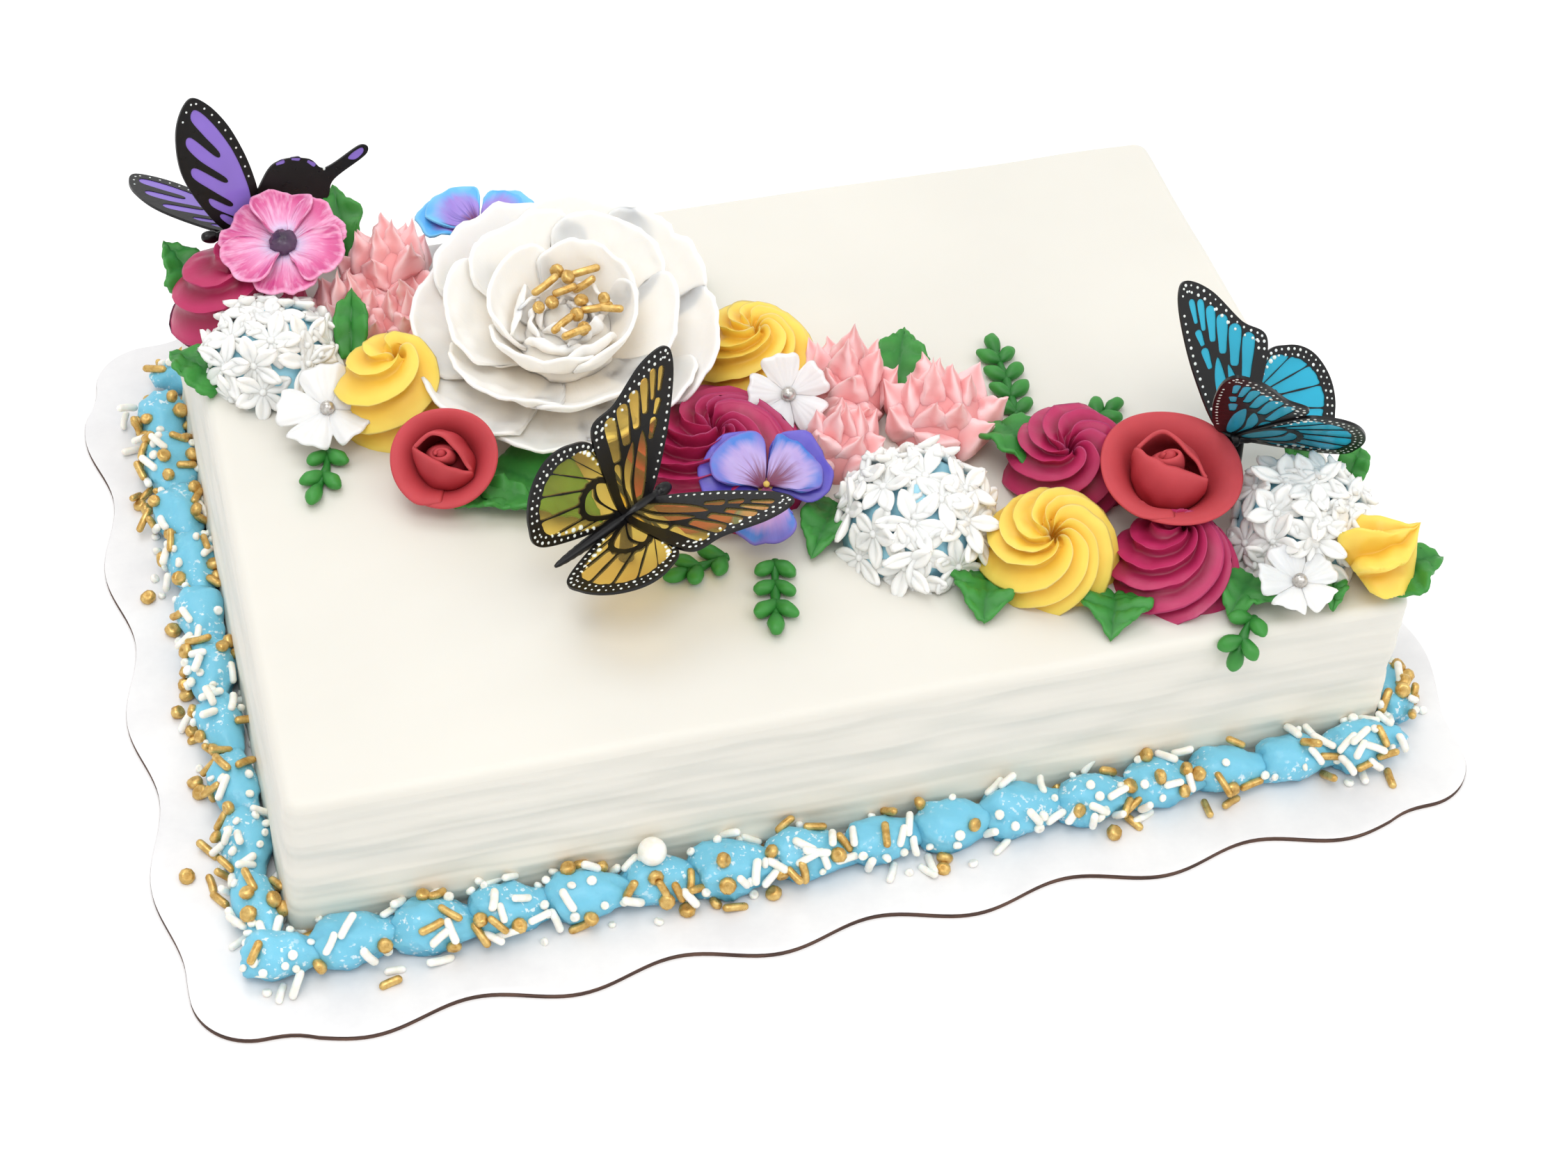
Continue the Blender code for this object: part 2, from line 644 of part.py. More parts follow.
def make_sprig(name, path, collection, bulb=3.6):
    """A row of small piped bulbs in pairs along a stem, with one at its end."""
    points = [on_cake(*point) + Vector((0, 0, 1.6 * MM)) for point in path]
    lengths = [(b - a).length for a, b in zip(points, points[1:])]
    total = sum(lengths)

    def at(distance):
        for index, length in enumerate(lengths):
            if distance <= length or index == len(lengths) - 1:
                return points[index].lerp(points[index + 1], distance / length)
            distance -= length

    curve = bpy.data.curves.new("stem", "CURVE")
    curve.dimensions = "3D"
    curve.bevel_depth = 1.2 * MM
    curve.bevel_resolution = 0
    curve.use_fill_caps = True
    spline = curve.splines.new("POLY")
    spline.points.add(len(points) - 1)
    for slot, point in zip(spline.points, points):
        slot.co = (*point, 1.0)
    stem_curve = bpy.data.objects.new("stem_curve", curve)
    collection.objects.link(stem_curve)
    stem = bpy.data.objects.new("stem", evaluated_copy(stem_curve))
    collection.objects.link(stem)
    bpy.data.objects.remove(stem_curve, do_unlink=True)
    bm = bmesh.new()
    bm.from_mesh(stem.data)
    bmesh.ops.remove_doubles(bm, verts=bm.verts, dist=WELD)
    bm.to_mesh(stem.data)
    bm.free()
    pieces = [stem]
    pairs = max(2, round(total / (9 * MM)))
    spots = []
    for index in range(pairs):
        distance = total * (index + 0.25) / pairs
        along = (at(min(total, distance + MM)) - at(distance)).normalized()
        side = along.cross(Vector((0, 0, 1))).normalized()
        for hand in (-1, 1):
            spots.append((at(distance), along * 0.75 + side * hand))
    end_along = (points[-1] - points[-2]).normalized()
    spots.append((at(total) - end_along * MM, end_along))
    for spot, direction in spots:
        bm = bmesh.new()
        bmesh.ops.create_uvsphere(bm, u_segments=4, v_segments=3, radius=1.0)
        bead = new_object("bulb", bm, collection)
        bead.scale = (bulb * 0.52 * MM, bulb * 0.52 * MM, bulb * MM)
        bead.location = spot + direction.normalized() * bulb * 0.85 * MM
        bead.rotation_euler = direction.to_track_quat("Z", "Y").to_euler()
        pieces.append(bead)
    return union(name, pieces, "icing_green")


# Butterflies


FORE_WING = ((1, 9), (14, 20), (28, 28), (37, 31), (41, 29), (40, 20), (34, 8), (31, -2), (14, -3), (1, -1))
HIND_WING = ((1, 3), (25, -2), (31, -10), (31, -19), (25, -27), (16, -31), (8, -29), (1, -8))
SWALLOW_FORE = ((1, 8), (14, 15), (30, 20), (42, 20), (40, 13), (30, 5), (20, 0), (12, -2), (1, -1))
SWALLOW_HIND = (
    (1, 3),
    (19, -3),
    (24, -9),
    (24, -18),
    (21, -24),
    (28, -36),
    (25, -38),
    (17, -27),
    (10, -24),
    (1, -8),
)


def wing_plate(outline, side, dihedral, lift, grow=0.0):
    """A flat wing as a thin plate, leaning up from the body's long axis.

    A cutter's plate is grown all round: thicker by grow on each face, and pushed out from its middle.
    """
    bm = bmesh.new()
    lean = math.radians(dihedral)
    middle = sum((Vector(point) for point in outline), Vector((0, 0))) / len(outline)
    for height in (lift - grow, lift + WING_THICKNESS + grow):
        ring = []
        for u, v in outline:
            out = (Vector((u, v)) - middle).normalized() * grow
            flat = u * MM + out.x
            x = side * (flat * math.cos(lean) - height * math.sin(lean))
            z = flat * math.sin(lean) + height * math.cos(lean)
            ring.append(bm.verts.new((x, v * MM + out.y, z)))
        bm.faces.new(ring)
    bm.verts.ensure_lookup_table()
    count = len(outline)
    for k in range(count):
        following = (k + 1) % count
        corners = (k, following, following + count, k + count)
        bm.faces.new([bm.verts[index] for index in corners])
    bmesh.ops.triangulate(bm, faces=bm.faces)
    return bm


def butterfly_solids(place, turn, dihedral, outlines, collection, grow=0.0):
    """A slim body, four wing plates and a pick down to the icing, as separate closed solids."""
    where = Matrix.Translation(on_cake(*place)) @ turn
    thick = BODY_RADIUS + grow
    bm = bmesh.new()
    bmesh.ops.create_uvsphere(bm, u_segments=6, v_segments=5, radius=1.0)
    body = new_object("body", bm, collection)
    body_size = Matrix.Diagonal((thick, 22.5 * MM + grow, thick, 1.0))
    body.matrix_world = where @ Matrix.Translation((0, -5 * MM, 0)) @ body_size
    pieces = [body]
    for side in (-1, 1):
        for index, outline in enumerate(outlines):
            shape = wing_plate(outline, side, dihedral, -0.5 * index * MM, grow)
            plate = new_object("wing", shape, collection)
            plate.matrix_world = where
            pieces.append(plate)
    foot = on_cake(place[0], place[1], 0)
    reach = where.translation.z - foot.z
    radii = {"radius1": PICK_RADIUS * 2 + grow, "radius2": PICK_RADIUS + grow}
    bm = bmesh.new()
    bmesh.ops.create_cone(bm, cap_ends=True, segments=6, depth=reach, **radii)
    pick = new_object("pick", bm, collection)
    pick.location = foot + Vector((0, 0, reach / 2))
    pieces.append(pick)
    return pieces


def make_butterfly(name, place, angles, outlines, finish, collection, cutters):
    """A moulded butterfly, and the slightly larger cutters that keep other pieces clear of it.

    The angles are heading, pitch, roll and the wings' lean up from flat, in degrees.
    """
    heading, pitch, roll, dihedral = angles
    turn = (
        Matrix.Rotation(math.radians(heading), 4, "Z")
        @ Matrix.Rotation(math.radians(pitch), 4, "X")
        @ Matrix.Rotation(math.radians(roll), 4, "Y")
    )
    solids = butterfly_solids(place, turn, dihedral, outlines, collection)
    made = union(name, solids, finish)
    guards = butterfly_solids(place, turn, dihedral, outlines, cutters, 1.5 * GAP)
    return made, guards


# Envelopes: plain turned shapes a little larger than a piece, which trim its neighbours


def turned(profile, around=14):
    """A closed turned shape from (radius, height) pairs, bottom to top."""
    rings = [ring_of(around, lambda a, r=r: r, lambda a, z=z: z) for r, z in profile[1:-1]]
    return loft(rings, Vector((0, 0, profile[0][1])), Vector((0, 0, profile[-1][1])))


def dome_profile(radius, height, power=2.4, below=3 * MM):
    wide = (radius + 2 * GAP) * 1.03
    tall = height + 2 * GAP
    levels = (0.0, 0.4, 0.7, 0.86, 0.95)
    sides = [(wide * blocky(level, power), tall * level) for level in levels]
    return [(0, -below), (wide, -below), *sides, (0, tall)]


def flower_profile(stem, cup_radius, cup_height, radius, low, high):
    grow = 2 * GAP
    return [
        (0, -3 * MM),
        (stem + grow, -3 * MM),
        (stem + grow, 0),
        (cup_radius + grow, cup_height - grow),
        ((radius + grow) * 1.02, low - grow),
        ((radius + grow) * 1.02, high + grow),
        (0, high + 4 * grow),
    ]


class Placed:
    """A made piece, with the envelopes that keep its lesser neighbours clear of it."""

    def __init__(self, piece, envelopes, centre, reach):
        self.piece = piece
        self.envelopes = envelopes
        self.centre = centre
        self.reach = reach
        for envelope in envelopes:
            envelope.hide_render = True
            envelope.display_type = "WIRE"


class Spray:
    """The decorations on the cake's top, and what keeps each of them clear of its neighbours."""

    def __init__(self, parts, cutters):
        self.parts = parts
        self.cutters = cutters
        self.placed = []

    def keep(self, piece, envelopes, centre, reach):
        """Note a made piece and the envelopes that later, lesser pieces are cut by."""
        self.placed.append(Placed(piece, envelopes, centre, reach))

    def keep_turned(self, piece, place, euler, profile, reach):
        envelope = new_object(piece.name + "_envelope", turned(profile), self.cutters)
        envelope.location = place
        envelope.rotation_euler = euler
        self.keep(piece, [envelope], Vector(place), reach)

    def stand(self, name, bm, place, finish, profile, reach, lean=0.0, spin=0.0):
        """Stand a piece on the cake, turned by spin and then leaned towards the viewing side."""
        piece = new_object(name, bm, self.parts, finish)
        euler = tilt_towards(lean)
        piece.location = on_cake(*place)
        piece.rotation_euler = (euler.to_matrix().to_4x4() @ Matrix.Rotation(spin, 4, "Z")).to_euler()
        self.keep_turned(piece, on_cake(*place), euler, profile, reach)

    def trim(self, piece, centre, reach, count=None):
        """Cut a lesser piece by the envelopes near it, of the first count pieces or of all."""
        for other in self.placed[:count]:
            if (other.centre - centre).length < other.reach + reach:
                for envelope in other.envelopes:
                    cut = piece.modifiers.new("clear", "BOOLEAN")
                    cut.operation = "DIFFERENCE"
                    cut.object = envelope
                    cut.solver = "EXACT"
        apply_modifiers(piece)
        keep_largest(piece)

    def settle(self):
        """Each piece is cut clear of those placed before it, then levelled on the icing."""
        for index, lesser in enumerate(self.placed):
            self.trim(lesser.piece, lesser.centre, lesser.reach, index)
            cut_plane(lesser.piece, (0, 0, CAKE_TOP + GAP), (0, 0, -1))
            keep_largest(lesser.piece)


def add_butterflies(spray):
    """Placed first, because nothing else may cut them."""
    monarch = (FORE_WING, HIND_WING)
    swallowtail = (SWALLOW_FORE, SWALLOW_HIND)
    half_span = 52 * MM
    # Name, place in mm, (heading, pitch, roll, wing lean) in degrees, wings.
    butterflies = (
        ("amber", (-54.5, -42, 17), (-60.5, 3.8, 26.5, 44), monarch),
        ("blue", (130.6, -54, 19), (83.3, 23.6, 7.1, 52.5), monarch),
        ("purple", (-140, 107, 15), (104.6, 17.4, 58.5, 51), swallowtail),
    )
    for colour, place, angles, outlines in butterflies:
        name = "butterfly_" + colour
        finish = "plastic_" + colour
        made, guards = make_butterfly(name, place, angles, outlines, finish, spray.parts, spray.cutters)
        spray.keep(made, guards, on_cake(*place), half_span)


def add_sugar_flowers(spray):
    """The flowers stand on short feet of icing and lean a little towards the front."""
    profile = flower_profile(14 * MM, 34 * MM, 7 * MM, 46 * MM, 13 * MM, 33 * MM)
    spray.stand("peony", peony(), (-53, 39, 0), "petal_white", profile, 50 * MM, lean=9)
    # Name, place in mm, radius, height, lean in degrees.
    roses = (("right", (106, -60, 9), 20.2, 17, 14), ("left", (-96, 4, 4), 15.6, 15, 40))
    for side, place, radius, height, lean in roses:
        wide = radius * MM
        tall = height * MM
        profile = flower_profile(0.31 * wide, 0.63 * wide, 0.3 * tall, wide, 0.66 * tall, 1.07 * tall)
        spray.stand("rose_" + side, rose(wide, tall), place, "petal_red", profile, wide + 6 * MM, lean=lean)
    petals = ruffled_flower(20.3 * MM, 8 * MM, 4 * MM, lobes=7, around=14, notch=0.1, bump=4 * MM)
    profile = flower_profile(4 * MM, 11 * MM, 4 * MM, 20.3 * MM, 5.5 * MM, 10 * MM)
    spray.stand("anemone", petals, (-132, 92, 19), "petal_pink", profile, 24 * MM, lean=6)
    profile = flower_profile(4 * MM, 11 * MM, 6 * MM, 20 * MM, 6.5 * MM, 10 * MM)
    for side, place, lean in (("front", (-10, -33, 7), 22), ("back", (-71, 96, 6), 8)):
        petals = pansy(20 * MM, 9 * MM)
        spray.stand("pansy_" + side, petals, place, "petal_violet", profile, 23 * MM, lean=lean)
    # Name, place in mm, radius in mm, lean in degrees.
    blossoms = (
        ("left", (-129, 30, 5), 14.5, 18),
        ("mid", (7, 1, 12), 11.5, 38),
        ("right", (129, -105, 3), 12.5, 8),
    )
    for side, place, radius, lean in blossoms:
        wide = radius * MM
        profile = flower_profile(3 * MM, wide * 0.55, 4.4 * MM, wide, 6.5 * MM, 10.5 * MM)
        petals = ruffled_flower(wide, 8 * MM, 3 * MM)
        name = "blossom_" + side
        spray.stand(name, petals, place, "petal_white", profile, wide + 3 * MM, lean=lean, spin=0.3)


def add_piping(spray):
    """Swirls, mounds of florets and pointed clusters, each giving way to those named before it."""
    shape = swirl(19.5 * MM, 20 * MM, 9, 150)
    profile = dome_profile(19.5 * MM, 20 * MM, 2.2)
    spray.stand("rosette_yellow_front", shape, (63, -77), "icing_yellow", profile, 21 * MM)
    profile = dome_profile(12 * MM, 17 * MM, 1.6)
    star = star_blossom_mound(12.5 * MM, 17 * MM, 6)
    spray.stand("star_yellow_right", star, (156, -101), "icing_yellow", profile, 13 * MM)
    # Name, x, y, radius and height in mm, florets.
    mounds = (
        ("hydrangea_mid", 31, -52, 25.5, 26, 10),
        ("hydrangea_right", 143, -80, 22, 21, 9),
        ("hydrangea_left", -142, 63, 22.5, 22, 8),
    )
    for seed, (name, x, y, radius, height, florets) in enumerate(mounds):
        spot = on_cake(x, y)
        wide = radius * MM
        tall = height * MM
        mound = make_hydrangea(name, spot, wide, tall, spray.parts, florets, 21 + seed)
        profile = dome_profile(1.09 * wide, 1.07 * tall, 3.2)
        spray.keep_turned(mound, spot, Euler(), profile, wide + 3 * MM)
    # Name, x, y, radius and height in mm, ridges, twist in degrees.
    swirls = (
        ("rosette_magenta_front", 99.5, -86, 18.5, 19, 8, 230),
        ("rosette_magenta_back", 85, -42, 18, 19, 8, 200),
        ("rosette_magenta_mid", -13, -6, 20, 18, 8, 170),
        ("rosette_yellow_back", 3, 29, 19, 18, 8, 150),
        ("rosette_magenta_left", -149, 91, 21, 22, 7, 200),
    )
    for name, x, y, radius, height, ridges, twist in swirls:
        shape = swirl(radius * MM, height * MM, ridges, twist)
        profile = dome_profile(radius * MM, height * MM, 2.2)
        finish = "icing_yellow" if "yellow" in name else "icing_magenta"
        spray.stand(name, shape, (x, y), finish, profile, (radius + 1) * MM)
    shape = stacked_swirl(21 * MM, 30 * MM, 3)
    profile = dome_profile(21 * MM, 30 * MM, 1.7)
    spray.stand("rosette_yellow_left", shape, (-104, 33), "icing_yellow", profile, 22 * MM)
    # Name, x, y, radius and height in mm, petals in a ring.
    clusters = (
        ("mum_mid_c", 18, -18, 13.5, 20, 8),
        ("mum_mid_b", 55, -11, 16, 26, 8),
        ("mum_mid_a", 27, 8, 13.5, 26, 7),
        ("mum_left_a", -101, 92, 14, 24, 7),
        ("mum_left_b", -119, 75, 11.5, 18, 6),
        ("mum_left_c", -98, 71, 11, 17, 6),
    )
    for name, x, y, radius, height, petals in clusters:
        shape = pointed_cluster(radius * MM, height * MM, petals)
        profile = dome_profile(radius * 1.12 * MM, height * 1.05 * MM, 2.8)
        spray.stand(name, shape, (x, y), "icing_pink", profile, (radius + 2) * MM)


def add_leaves(spray):
    # Name, root and tip in mm, width in mm.
    leaves = (
        ("leaf_right_end", (158, -107, 0), (175, -105, 2), 14),
        ("leaf_right_curl", (143, -101, 0), (139, -112, 1), 8),
        ("leaf_blossom_right", (120, -96, 2), (110, -107, 1), 15),
        ("leaf_yellow_right", (80, -90, 0), (73, -106, 0), 18),
        ("leaf_yellow_left", (46, -74, 0), (39, -92, 0), 18),
        ("leaf_mid_back", (66, -46, 3), (69, -19, 9), 15),
        ("leaf_pink_back", (41, 3, 1), (50, 24, 9), 16),
        ("leaf_hydrangea_mid", (12, -36, 0), (-2, -56, 1), 15),
        ("leaf_left_mid", (-117, 55, 4), (-112, 75, 14), 12),
        ("leaf_rose_a", (-88, 10, 0), (-66, -8, 3), 18),
        ("leaf_rose_b", (-97, -7, 0), (-76, -19, 1), 13),
        ("leaf_far_left", (-158, 56, 0), (-172, 72, 2), 16),
        ("leaf_corner_left", (-160, 98, 0), (-168, 117, 9), 13),
        ("leaf_corner_back", (-113, 105, 3), (-113, 121, 19), 12),
        ("leaf_peony_back", (-14, 60, 0), (-3, 73, 5), 9),
        ("leaf_butterfly_right", (152, -60, 3), (149, -46, 10), 9),
        ("leaf_hydrangea_right", (161, -68, 3), (170, -58, 8), 9),
    )
    reach = 20 * MM
    for name, root, tip, width in leaves:
        leaf = make_leaf(name, root, tip, width, spray.parts)
        guard = make_leaf(name + "_guard", root, tip, width + 1, spray.cutters, LEAF_THICKNESS + 3 * GAP)
        centre = (on_cake(*root) + on_cake(*tip)) / 2
        spray.trim(leaf, centre, reach)
        spray.keep(leaf, [guard], centre, reach)


def add_sprigs(spray):
    # Name, points of the stem in mm.
    sprigs = (
        ("sprig_left", ((-132, 21, 0), (-134, 12, 0), (-138, 4, 0))),
        ("sprig_mid_a", ((-26, -50, 0), (-34, -52, 0), (-41, -54, 0))),
        ("sprig_mid_b", ((-13, -55, 0), (-16, -66, 0), (-19, -78, 0))),
        ("sprig_back", ((76, -12, 0), (78, 3, 0), (79, 19, 0))),
        ("sprig_back_b", ((93, -22, 0), (99, -19, 0), (105, -16, 0))),
        ("sprig_right", ((115, -110, 0), (110.5, -112, 0.5), (106, -116, -3), (105, -116.5, -10))),
    )
    reach = 22 * MM
    for name, path in sprigs:
        sprig = make_sprig(name, path, spray.parts)
        spray.trim(sprig, on_cake(*path[1]), reach)


def main():
    clear_scene()
    parts = new_collection("sheet_cake")
    cutters = new_collection("cutters")
    make_board(parts)
    cake = make_cake("cake", parts)
    make_borders(parts)
    spray = Spray(parts, cutters)
    add_butterflies(spray)
    add_sugar_flowers(spray)
    add_piping(spray)
    spray.settle()
    cake_guard = make_cake("cake_guard", cutters, GAP)
    spray.keep(cake, [cake_guard], on_cake(0, 0), CAKE_LENGTH)
    add_leaves(spray)
    add_sprigs(spray)


main()
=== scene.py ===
"""Looks of a sheet cake with a piped border, sprinkles, a spray of piped and sugar flowers and butterflies.

Forms are made in millimetres on the cake's own axes, with the origin in the middle of its top, and become
metres on the part's frame when their object is made.
"""

import math

import bmesh
import bpy
import numpy as np
from mathutils import Matrix, Vector
from mathutils.bvhtree import BVHTree

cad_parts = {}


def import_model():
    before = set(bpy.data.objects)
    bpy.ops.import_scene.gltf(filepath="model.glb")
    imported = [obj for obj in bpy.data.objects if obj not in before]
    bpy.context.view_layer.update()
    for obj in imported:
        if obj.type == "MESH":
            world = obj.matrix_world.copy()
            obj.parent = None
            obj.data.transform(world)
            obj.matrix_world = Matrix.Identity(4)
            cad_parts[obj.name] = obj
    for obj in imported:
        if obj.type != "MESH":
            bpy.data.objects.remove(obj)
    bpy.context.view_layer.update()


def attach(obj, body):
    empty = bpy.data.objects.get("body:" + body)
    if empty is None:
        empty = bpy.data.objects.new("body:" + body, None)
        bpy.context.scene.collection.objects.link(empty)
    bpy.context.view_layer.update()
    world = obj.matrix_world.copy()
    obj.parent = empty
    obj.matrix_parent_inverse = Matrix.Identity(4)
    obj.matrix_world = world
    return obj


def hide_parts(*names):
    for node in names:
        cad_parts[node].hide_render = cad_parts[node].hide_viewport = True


MM = 0.001
SHIFT = np.array((6.0, 0.0, 57.1))
WELD = 0.000002
VIEW_SIDE = math.radians(-107.5)

# Cake and board, as in the part.
CAKE_LENGTH = 330.0
CAKE_DEPTH = 226.0
CAKE_HEIGHT = 54.8
CAKE_FLARE = 1.5
LEFT_LEAN = 3.6
CAKE_EDGE = 3.2
BOARD_TOP = -55.1
BOARD_THICKNESS = 2.0
BOARD_HALF_LENGTH = 192.0
BOARD_HALF_DEPTH = 145.0
BOARD_CORNER = 18.0
SCALLOP = 6.0


# Forms


def smooth_curve(points, count):
    """Points at even steps of a smooth curve through the given ones."""
    given = np.asarray(points, float)
    padded = np.vstack([2 * given[0] - given[1], given, 2 * given[-1] - given[-2]])
    steps = np.linspace(0, len(given) - 1, count)
    first = np.minimum(steps.astype(int), len(given) - 2)
    part = (steps - first)[:, None]
    a, b, c, d = (padded[first + k] for k in range(4))
    cubic = 3 * b - a - 3 * c + d
    return 0.5 * (2 * b + (c - a) * part + (2 * a - 5 * b + 4 * c - d) * part**2 + cubic * part**3)


def closed_curve(points, count):
    """Points at even steps of a smooth closed curve through the given ones."""
    given = np.asarray(points, float)
    steps = np.linspace(0, len(given), count, endpoint=False)
    first = steps.astype(int)
    part = (steps - first)[:, None]
    a, b, c, d = (given[(first + k) % len(given)] for k in (-1, 0, 1, 2))
    cubic = 3 * b - a - 3 * c + d
    return 0.5 * (2 * b + (c - a) * part + (2 * a - 5 * b + 4 * c - d) * part**2 + cubic * part**3)


def bumps(points, size, seed, waves=10):
    """A smooth random height of about unit spread for each point, with features of a given size."""
    rng = np.random.default_rng(seed)
    total = np.zeros(points.shape[:-1])
    for _ in range(waves):
        heading = rng.normal(size=points.shape[-1])
        heading *= rng.uniform(0.6, 1.5) * 2 * math.pi / size / np.linalg.norm(heading)
        total += np.cos(points @ heading + rng.uniform(0, 2 * math.pi))
    return total / math.sqrt(waves / 2)


def wobble(x, rng, terms=3, size=1.0):
    """A smooth random function of an angle."""
    total = np.zeros_like(x, dtype=float)
    for k in range(1, terms + 1):
        total += rng.normal() / k * np.cos(k * size * x + rng.uniform(0, 2 * math.pi))
    return total / 1.5


def smooth_step(x, low, high):
    t = np.clip((x - low) / (high - low), 0.0, 1.0)
    return t * t * (3 - 2 * t)


def end_steps(count, low=0.0, high=1.0):
    """Steps that crowd together towards both ends."""
    t = np.linspace(0, 1, count)
    t = 0.6 * (1 - np.cos(math.pi * t)) / 2 + 0.4 * t
    return low + (high - low) * t


def grid_faces(rows, columns, wrap=False):
    i, j = np.meshgrid(np.arange(rows - 1), np.arange(columns if wrap else columns - 1), indexing="ij")
    k = (j + 1) % columns
    faces = np.stack([i * columns + j, i * columns + k, (i + 1) * columns + k, (i + 1) * columns + j], -1)
    return faces.reshape(-1, 4)


def moved(points, matrix):
    matrix = np.asarray(matrix, float)
    return points @ matrix[:3, :3].T + matrix[:3, 3]


def stand(spot, lean=0.0, spin=0.0):
    """Stands a form at a spot, turned by spin and then leaned towards the viewing side."""
    axis = Vector((-math.sin(VIEW_SIDE), math.cos(VIEW_SIDE), 0.0))
    where = Vector((spot[0], spot[1], spot[2] if len(spot) > 2 else 0.0))
    turn = Matrix.Rotation(math.radians(lean), 4, axis) @ Matrix.Rotation(spin, 4, "Z")
    return np.array(Matrix.Translation(where) @ turn)


def aim(spot, direction, roll=0.0, scale=1.0):
    """A matrix that carries +Z onto a direction at a spot."""
    turn = Vector(direction).to_track_quat("Z", "Y").to_matrix().to_4x4() @ Matrix.Rotation(roll, 4, "Z")
    return np.array(Matrix.Translation(Vector(spot)) @ turn @ Matrix.Scale(scale, 4))


def ball(rows=10, columns=14):
    """A unit ball as rows of points from its lower to its upper pole."""
    rise = np.linspace(-math.pi / 2, math.pi / 2, rows + 1)[:, None]
    turn = np.linspace(0, 2 * math.pi, columns, endpoint=False)[None, :]
    points = np.stack([np.cos(rise) * np.cos(turn), np.cos(rise) * np.sin(turn), np.sin(rise) + 0 * turn], -1)
    return points, grid_faces(rows + 1, columns, wrap=True)


class Form:
    """Points and faces gathered into one piece, with a tone and a place on its petal for each point. On most forms the
    tone carries painted shade, low in folds, grooves and hollows.
    """

    def __init__(self):
        self.points = []
        self.faces = []
        self.tones = []
        self.places = []
        self.slots = []
        self.count = 0

    def add(self, points, faces, tone=0.5, place=None, slot=0):
        flat = np.asarray(points, float).reshape(-1, 3)
        tones = np.full(len(flat), tone) if np.isscalar(tone) else np.asarray(tone, float).ravel()
        places = np.zeros_like(flat) if place is None else np.asarray(place, float).reshape(-1, 3)
        self.points.append(flat)
        self.tones.append(tones)
        self.places.append(places)
        self.faces.extend((np.asarray(faces) + self.count).tolist())
        self.slots.extend([slot] * len(faces))
        self.count += len(flat)

    def sheet(self, middle, thickness, tone=0.5, place=None, slot=0, wrap=False, matrix=None):
        """A closed thin sheet about a grid of points, with rounded edges."""
        rows, columns = middle.shape[:2]
        along = np.gradient(middle, axis=0)
        if wrap:
            across = np.roll(middle, -1, axis=1) - np.roll(middle, 1, axis=1)
        else:
            across = np.gradient(middle, axis=1)
        normal = np.cross(across, along)
        normal /= np.maximum(np.linalg.norm(normal, axis=-1, keepdims=True), 1e-9)
        run = np.linalg.norm(np.diff(middle, axis=0), axis=-1)
        run = np.vstack([np.zeros(columns), np.cumsum(run, axis=0)])
        edge = np.minimum(run, run[-1] - run)
        if not wrap:
            side = np.linalg.norm(np.diff(middle, axis=1), axis=-1)
            side = np.hstack([np.zeros((rows, 1)), np.cumsum(side, axis=1)])
            edge = np.minimum(edge, np.minimum(side, side[:, -1:] - side))
        near = 1 - np.clip(edge / (0.8 * np.max(thickness)), 0, 1)
        half = (0.5 * thickness * np.sqrt(1 - near**2))[..., None]
        faces = grid_faces(rows, columns, wrap)
        both = np.stack([middle + normal * half, middle - normal * half]).reshape(-1, 3)
        if matrix is not None:
            both = moved(both, matrix)
        all_faces = np.vstack([faces, faces[:, ::-1] + rows * columns])
        tones = tone if np.isscalar(tone) else np.concatenate([np.ravel(tone)] * 2)
        places = None if place is None else np.vstack([np.reshape(place, (-1, 3))] * 2)
        self.add(both, all_faces, tones, places, slot)

    def make(self, name, paints, slot, nodes=(), sharp=None):
        """The object, riding on the part's one body in the place of its CAD nodes."""
        mesh = bpy.data.meshes.new(name)
        mesh.from_pydata(((np.vstack(self.points) + SHIFT) * MM).tolist(), [], self.faces)
        for paint in paints:
            mesh.materials.append(paint.material)
        mesh.polygons.foreach_set("material_index", self.slots)
        tone = mesh.attributes.new("tone", "FLOAT", "POINT")
        tone.data.foreach_set("value", np.concatenate(self.tones).astype(np.float32))
        place = mesh.attributes.new("place", "FLOAT_VECTOR", "POINT")
        place.data.foreach_set("vector", np.vstack(self.places).astype(np.float32).ravel())
        bm = bmesh.new()
        bm.from_mesh(mesh)
        bmesh.ops.remove_doubles(bm, verts=bm.verts, dist=WELD)
        bmesh.ops.recalc_face_normals(bm, faces=bm.faces)
        bm.to_mesh(mesh)
        bm.free()
        mesh.polygons.foreach_set("use_smooth", np.ones(len(mesh.polygons), bool))
        if sharp:
            mesh.set_sharp_from_angle(angle=math.radians(sharp))
        made = bpy.data.objects.new(name, mesh)
        bpy.context.scene.collection.objects.link(made)
        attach(made, "root")
        if nodes:
            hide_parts(*nodes)
        return made


# Paints


def linear(red, green, blue):
    """A colour given from 0 to 255 as it shows on a screen, as linear light."""
    return (*((value / 255) ** 2.2 for value in (red, green, blue)), 1.0)


